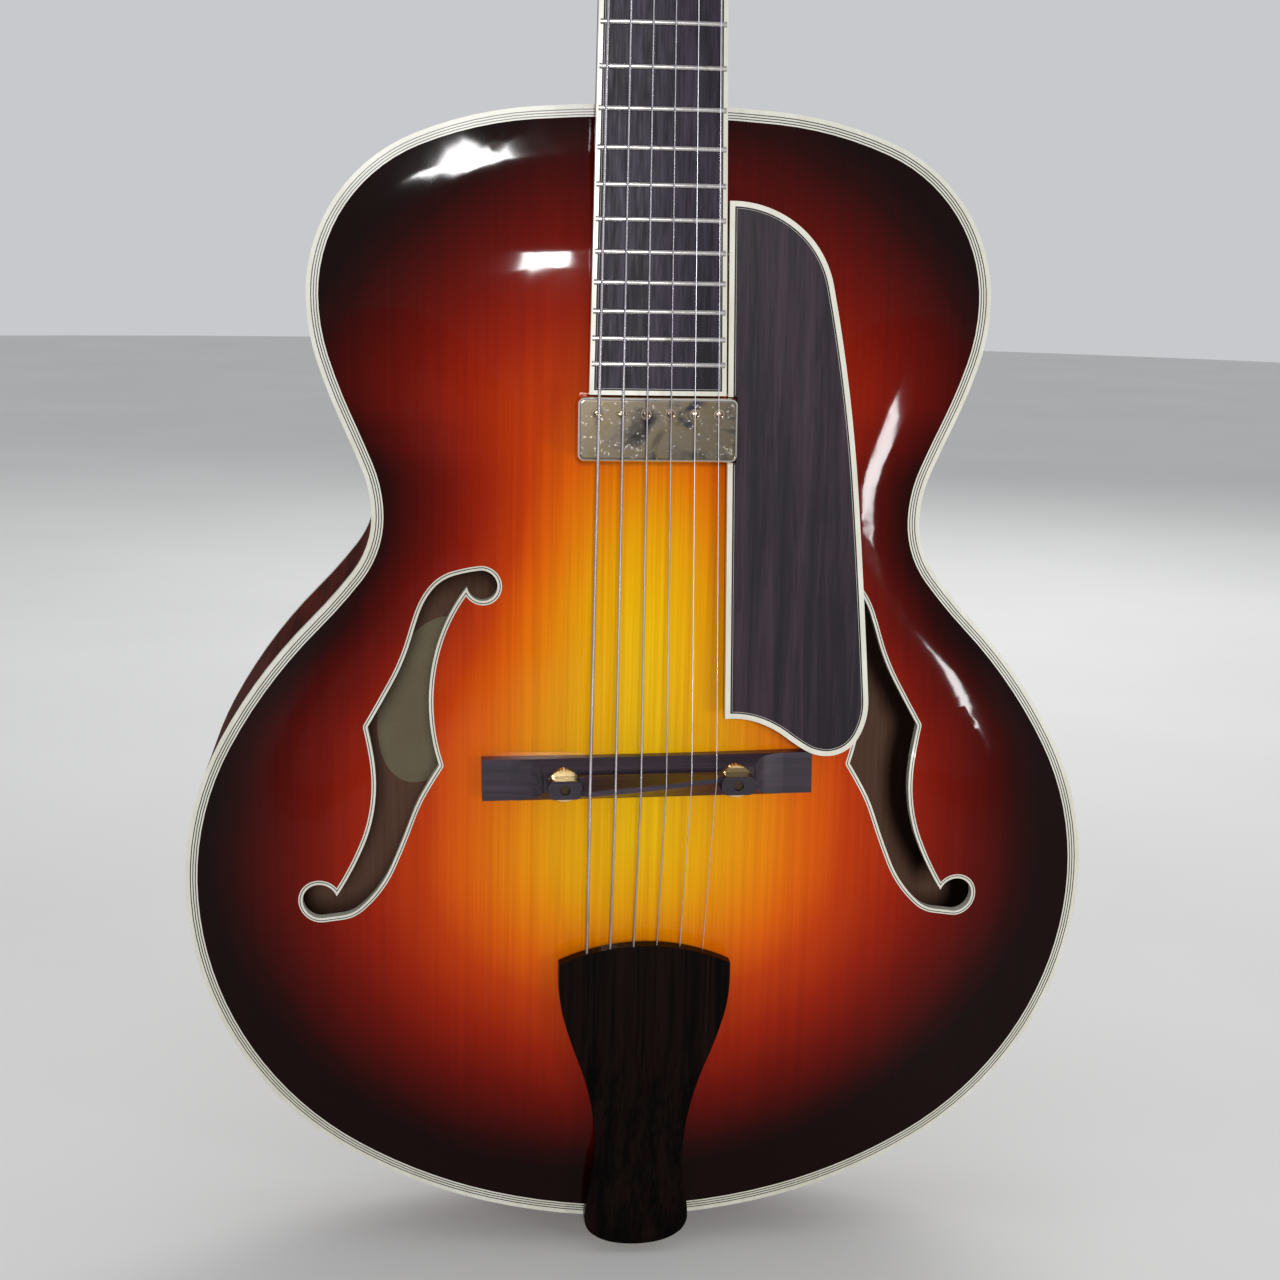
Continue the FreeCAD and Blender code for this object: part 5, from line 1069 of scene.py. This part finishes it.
@dataclass
class Strings:
    """Six strings, parted at saddle and nut, in millimetres and degrees."""

    radii: tuple[float, ...] = (0.66, 0.53, 0.41, 0.30, 0.215, 0.165)
    wound: int = 4
    tail_spread: float = 51.4
    tail_rise: float = 131.0
    tail_level: float = 22.3
    tail_grip: float = 11.0
    saddle_spread: float = 54.4
    saddle_rise: float = 219.3
    saddle_lean: float = 5.8
    saddle_level: float = 44.9
    crown: float = 610.0
    neck_end: float = 854.13
    neck_level: float = -4.5
    neck_pitch: float = -4.0
    nut_spread: float = 38.5
    nut_half: float = 2.5
    nut_action: float = 1.9
    head_level: float = -6.5
    head_pitch: float = -13.0
    post_offset: float = 24.0
    post_flare: float = 1.5
    post_first: float = 45.0
    post_spacing: float = 42.0
    post_waist: float = 2.8
    wrap_level: float = 12.0
    wrap_turns: float = 2.75
    wrap_pitch: float = 1.05
    sides: int = 14
    turn_steps: int = 20
    speaking_steps: int = 24
    tail_steps: int = 8
    neck: Matrix = field(init=False)
    head: Matrix = field(init=False)

    def __post_init__(self) -> None:
        """Places the neck's plane, and the headstock's on it."""
        self.neck = tilted(Vector((0.0, self.neck_end, self.neck_level)), self.neck_pitch)
        self.head = self.neck @ tilted(Vector((0.0, 0.0, self.head_level)), self.head_pitch)

    def row(self, index: int, spread: float) -> float:
        """Sideways place of a string, counted from 0, the lowest, in a row of some width."""
        return (index / (len(self.radii) - 1) - 0.5) * spread

    def tail(self, index: int) -> Vector:
        """Where a string lies in the tailpiece, on the bench."""
        return Vector((self.row(index, self.tail_spread), self.tail_rise, self.tail_level))

    def crest(self, index: int) -> Vector:
        """Where a string crosses the saddle, on the bench."""
        x = self.row(index, self.saddle_spread)
        return Vector((x, self.saddle_rise + x * self.saddle_lean / self.saddle_spread,
                       self.saddle_level - x * x / self.crown))

    def nut(self, index: int) -> Vector:
        """Where a string crosses the nut, on the bench."""
        x = self.row(index, self.nut_spread)
        return self.neck @ Vector((x, self.nut_half, self.nut_action - x * x / self.crown))

    def wrap(self, index: int) -> list[Vector]:
        """A string's turns round its post, from where it arrives, on the bench.

        Args:
            index: The string, from 0, the lowest.

        Returns:
            The points of the turns.
        """
        bass = index < len(self.radii) // 2
        step = index if bass else len(self.radii) - 1 - index
        side = -1.0 if bass else 1.0
        post = Vector((side * (self.post_offset + self.post_flare * step),
                       self.post_first + self.post_spacing * step, 0.0))
        start = self.head.inverted() @ self.nut(index)
        reach = Vector((start.x - post.x, start.y - post.y))
        radius = self.post_waist + self.radii[index]
        first = math.atan2(reach.y, reach.x) - side * math.acos(radius / reach.length)
        count = int(self.wrap_turns * self.turn_steps)
        points = []
        for part in range(count + 1):
            turn = math.tau * self.wrap_turns * part / count
            angle = first - side * turn
            level = self.wrap_level + self.wrap_pitch - self.wrap_pitch * turn / math.tau
            points.append(self.head @ Vector((post.x + radius * math.cos(angle),
                                              post.y + radius * math.sin(angle), level)))
        return points

    def runs(self, index: int) -> dict[Run, list[Vector]]:
        """The three runs of a string.

        Args:
            index: The string, from 0, the lowest.

        Returns:
            The points of each run, in the frame.
        """
        tail, crest, nut = self.tail(index), self.crest(index), self.nut(index)
        after = [tail.lerp(crest, part / self.tail_steps) for part in range(self.tail_steps + 1)]
        stretch = [nut.lerp(crest, part / self.speaking_steps) for part in range(self.speaking_steps + 1)]
        drawn = {Run.TAIL: after, Run.SPEAKING: stretch, Run.HEAD: [nut] + self.wrap(index)}
        return {run: [bench(point) for point in points] for run, points in drawn.items()}

    def build(self) -> None:
        """Makes the strings: the runs at the head ride on the guitar, and the other runs are baked in place.
        """
        grower = TubeGrower()
        for kind, finish, first, last in (("wound", WOUND_WIRE, 0, self.wound),
                                          ("plain", PLAIN_WIRE, self.wound, len(self.radii))):
            parts: dict[Run, list[Mesh]] = {}
            for index in range(first, last):
                values = {"Radius": self.radii[index] * MM, "Sides": float(self.sides),
                          "Finish": finish.material()}
                for run, points in self.runs(index).items():
                    parts.setdefault(run, []).append(grower.grow(polyline(points), values))
            for run, meshes in parts.items():
                piece = finished(f"strings_{kind}_{run.value}", joined(meshes), f"strings_{kind}")
                if run is Run.HEAD:
                    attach(piece, GUITAR)
                    continue
                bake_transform(piece)

    def level(self, place: Vector) -> Vector:
        """The point at a bench point's height on the frame's upright axis."""
        return Vector((0.0, 0.0, bench(place).z))


@dataclass
class TrimLines:
    """Pale lines let in beside the bindings of fingerboard and pickguard, with lengths in millimetres."""

    inset: float = 0.75
    width: float = 0.5
    thickness: float = 0.12
    drop: float = 5.0
    clearance: float = 2.0
    board_slope: float = 0.07
    guard_slope: float = 0.045
    least_cosine: float = 0.98
    sharpest_cosine: float = 0.3

    def rim(self, node: str, looks: Vector) -> list[Vector]:
        """The longest edge round the faces of a node that look one way.

        Args:
            node: The CAD node.
            looks: The direction.

        Returns:
            The edge's points in order.
        """
        work = merged(node)
        work.normal_update()
        front = {face for face in work.faces if face.normal.dot(looks) > self.least_cosine}
        border = [edge for edge in work.edges if sum(face in front for face in edge.link_faces) == 1]
        beside: dict[bmesh.types.BMVert, list[bmesh.types.BMVert]] = {}
        for edge in border:
            for vertex in edge.verts:
                beside.setdefault(vertex, []).append(edge.other_vert(vertex))
        loops = []
        left = set(beside)
        while left:
            start = min(left, key=lambda vertex: vertex.index)
            loop, last, here = [], None, start
            while here in left:
                left.discard(here)
                loop.append(here.co.copy())
                ahead = [vertex for vertex in beside[here] if vertex is not last and vertex in left]
                last, here = here, ahead[0] if ahead else start
            loops.append(loop)
        work.free()
        return max(loops, key=lambda loop: sum((a - b).length for a, b in zip(loop, loop[1:] + loop[:1])))

    def inward(self, loop: list[Vector], looks: Vector) -> list[Vector]:
        """Moves a closed line inwards in its plane by the inset.

        Args:
            loop: Its points.
            looks: The plane's normal.

        Returns:
            The new points.
        """
        middle = sum(loop, Vector()) / len(loop)
        ahead = loop[1:] + loop[:1]
        turn = sum((here - middle).cross(after - middle).dot(looks) for here, after in zip(loop, ahead))
        hand = 1.0 if turn > 0 else -1.0
        moved = []
        for index, (point, after) in enumerate(zip(loop, ahead)):
            arrive = (point - loop[index - 1]).normalized()
            leave = (after - point).normalized()
            first, second = looks.cross(arrive) * hand, looks.cross(leave) * hand
            both = (first + second).normalized()
            moved.append(point + both * (self.inset * MM / max(both.dot(first), self.sharpest_cosine)))
        return moved

    def opened(self, loop: list[Vector], node: str) -> tuple[list[Vector], bool]:
        """Opens a closed line where it runs round the end of a node.

        Args:
            loop: Its points.
            node: The CAD node.

        Returns:
            The points that are left, in order from the gap on, and whether the line is still closed.
        """
        low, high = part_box(node)
        room = self.clearance * MM
        near = [high[0] < p.x < high[0] + room and low[2] - room < p.z < high[2] + room for p in loop]
        if not any(near):
            return loop, True
        start = next(index for index in range(len(loop)) if near[index - 1] and not near[index])
        order = [(start + step) % len(loop) for step in range(len(loop))]
        return [loop[index] for index in order if not near[index]], False

    def build(self) -> None:
        """Lays the lines."""
        grower = StripGrower()
        for node, slope in (("fingerboard", self.board_slope), ("pickguard", self.guard_slope)):
            looks = Vector((0.0, -1.0, slope)).normalized()
            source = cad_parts[node].data
            ground = BVHTree.FromPolygons([vertex.co for vertex in source.vertices],
                                          [face.vertices for face in source.polygons])
            points = []
            for point in self.inward(self.rim(node, looks), looks):
                hit = ground.ray_cast(point + looks * self.drop * MM, -looks)[0]
                points.append(hit if hit is not None else point)
            strip = grower.grow(polyline(*self.opened(points, "pickup_cover")), {
                "Width": self.width * MM, "Thickness": self.thickness * MM, "Finish": IVOROID.material()})
            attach(finished(node + "_line", strip), GUITAR)


@dataclass(frozen=True)
class Lamp:
    """A soft lamp: places and size in metres, power in watts, and the fan of its light in degrees."""

    name: str
    place: Triple
    aim: Triple
    size: Span
    power: float
    fan: float = 180.0

    def build(self) -> None:
        """Sets up the lamp."""
        light = bpy.data.lights.new(self.name, "AREA")
        light.shape = "RECTANGLE"
        light.size, light.size_y = self.size
        light.energy = self.power
        light.spread = math.radians(self.fan)
        lamp = bpy.data.objects.new(self.name, light)
        lamp.location = self.place
        lamp.visible_camera = False
        lamp.rotation_euler = (Vector(self.aim) - Vector(self.place)).to_track_quat("-Z", "Y").to_euler()
        bpy.context.scene.collection.objects.link(lamp)


BODY_MIDDLE = (0.0, 0.0, 0.4)


@dataclass
class Studio:
    """A plain pale room: floor, soft lamps, sky and the camera, in metres and degrees."""

    backdrop: Colour = paint(200, 201, 204)
    floor_light: Colour = paint(226, 226, 224)
    floor_pale: Colour = paint(231, 231, 229)
    sky_strength: float = 0.86
    floor_level: float = -0.002
    floor_radius: float = 6.0
    floor_sides: int = 96
    lens: float = 61.74
    sensor: float = 36.0
    clip: Span = (0.01, 50.0)
    camera_place: Triple = (-0.0994, -0.98887, 0.4864)
    camera_turn: Triple = (78.2604, -1.1987, -5.5878)
    lamps: tuple[Lamp, ...] = (
        Lamp("key", (-0.12, -2.2, 0.8), BODY_MIDDLE, (0.17, 0.3), power=8.5, fan=110.0),
        Lamp("side", (0.46, -0.7, 0.215), (0.1, -0.05, 0.33), (0.12, 0.04), power=0.29, fan=90.0),
        Lamp("rear", (0.6, 1.8, 1.6), BODY_MIDDLE, (1.2, 1.2), power=20.0))

    def floor(self) -> None:
        """Lays the floor."""
        work = bmesh.new()
        bmesh.ops.create_circle(work, cap_ends=True, segments=self.floor_sides, radius=self.floor_radius)
        mesh = bpy.data.meshes.new("floor")
        work.to_mesh(mesh)
        work.free()
        mesh.transform(Matrix.Translation((0.0, 0.0, self.floor_level)))
        recipe = Recipe("pale_floor")
        cloud = recipe.spread(recipe.noise(EVEN, scale=3.0, detail=3.0), MOST)
        recipe.set(Base_Color=recipe.mix(cloud, self.floor_light, self.floor_pale),
                   Roughness=0.8, Specular_IOR_Level=0.1)
        mesh.materials.append(recipe.material)
        floor = bpy.data.objects.new("floor", mesh)
        bpy.context.scene.collection.objects.link(floor)

    def sky(self) -> None:
        """Makes the world: pale where it is seen or mirrored, dimmer where it lights."""
        world = bpy.data.worlds.new("studio")
        world.use_nodes = True
        graph = Graph(world.node_tree)
        path = graph.add("ShaderNodeLightPath").outputs
        seen = path["Is Camera Ray"]
        for name in ("Is Glossy Ray", "Is Transmission Ray"):
            seen = graph.sum("MAXIMUM", seen, path[name])
        strength = graph.add("ShaderNodeMapRange", {
            "Value": seen, "To Min": self.sky_strength, "To Max": 1.0})
        background = world.node_tree.nodes["Background"]
        graph.feed(background.inputs["Color"], self.backdrop)
        graph.feed(background.inputs["Strength"], strength.outputs[0])
        bpy.context.scene.world = world

    def camera(self) -> None:
        """Stands the camera where the photograph was taken from."""
        data = bpy.data.cameras.new("camera")
        data.lens, data.sensor_width = self.lens, self.sensor
        data.clip_start, data.clip_end = self.clip
        camera = bpy.data.objects.new("camera", data)
        turn = Euler([math.radians(angle) for angle in self.camera_turn]).to_matrix().to_4x4()
        camera.matrix_world = Matrix.Translation(self.camera_place) @ turn
        bpy.context.scene.collection.objects.link(camera)
        bpy.context.scene.camera = camera

    def build(self) -> None:
        """Sets up the room."""
        self.floor()
        self.sky()
        for lamp in self.lamps:
            lamp.build()
        self.camera()
        bpy.context.scene.view_settings.view_transform = "Standard"


def main() -> None:
    """Builds every sub-assembly in order."""
    logging.basicConfig(level=logging.INFO, format="%(message)s")
    poles = Screws("pole_screws", "pickup_pole_screws", POLE_PLATE_PAINTED_LIGHT, "worn_gold", head_radius=2.4,
                   head_height=0.8, shank_radius=1.4, shank_length=9.7, slot_width=0.7)
    for part in (Studio(), Body(), Neck(), Tuners(), Pickguard(), Bridge(), Tail(), Screws(), poles,
                 Strings(), TrimLines()):
        part.build()
        log.info("%s is done", type(part).__name__)


if __name__ == "__main__":
    main()
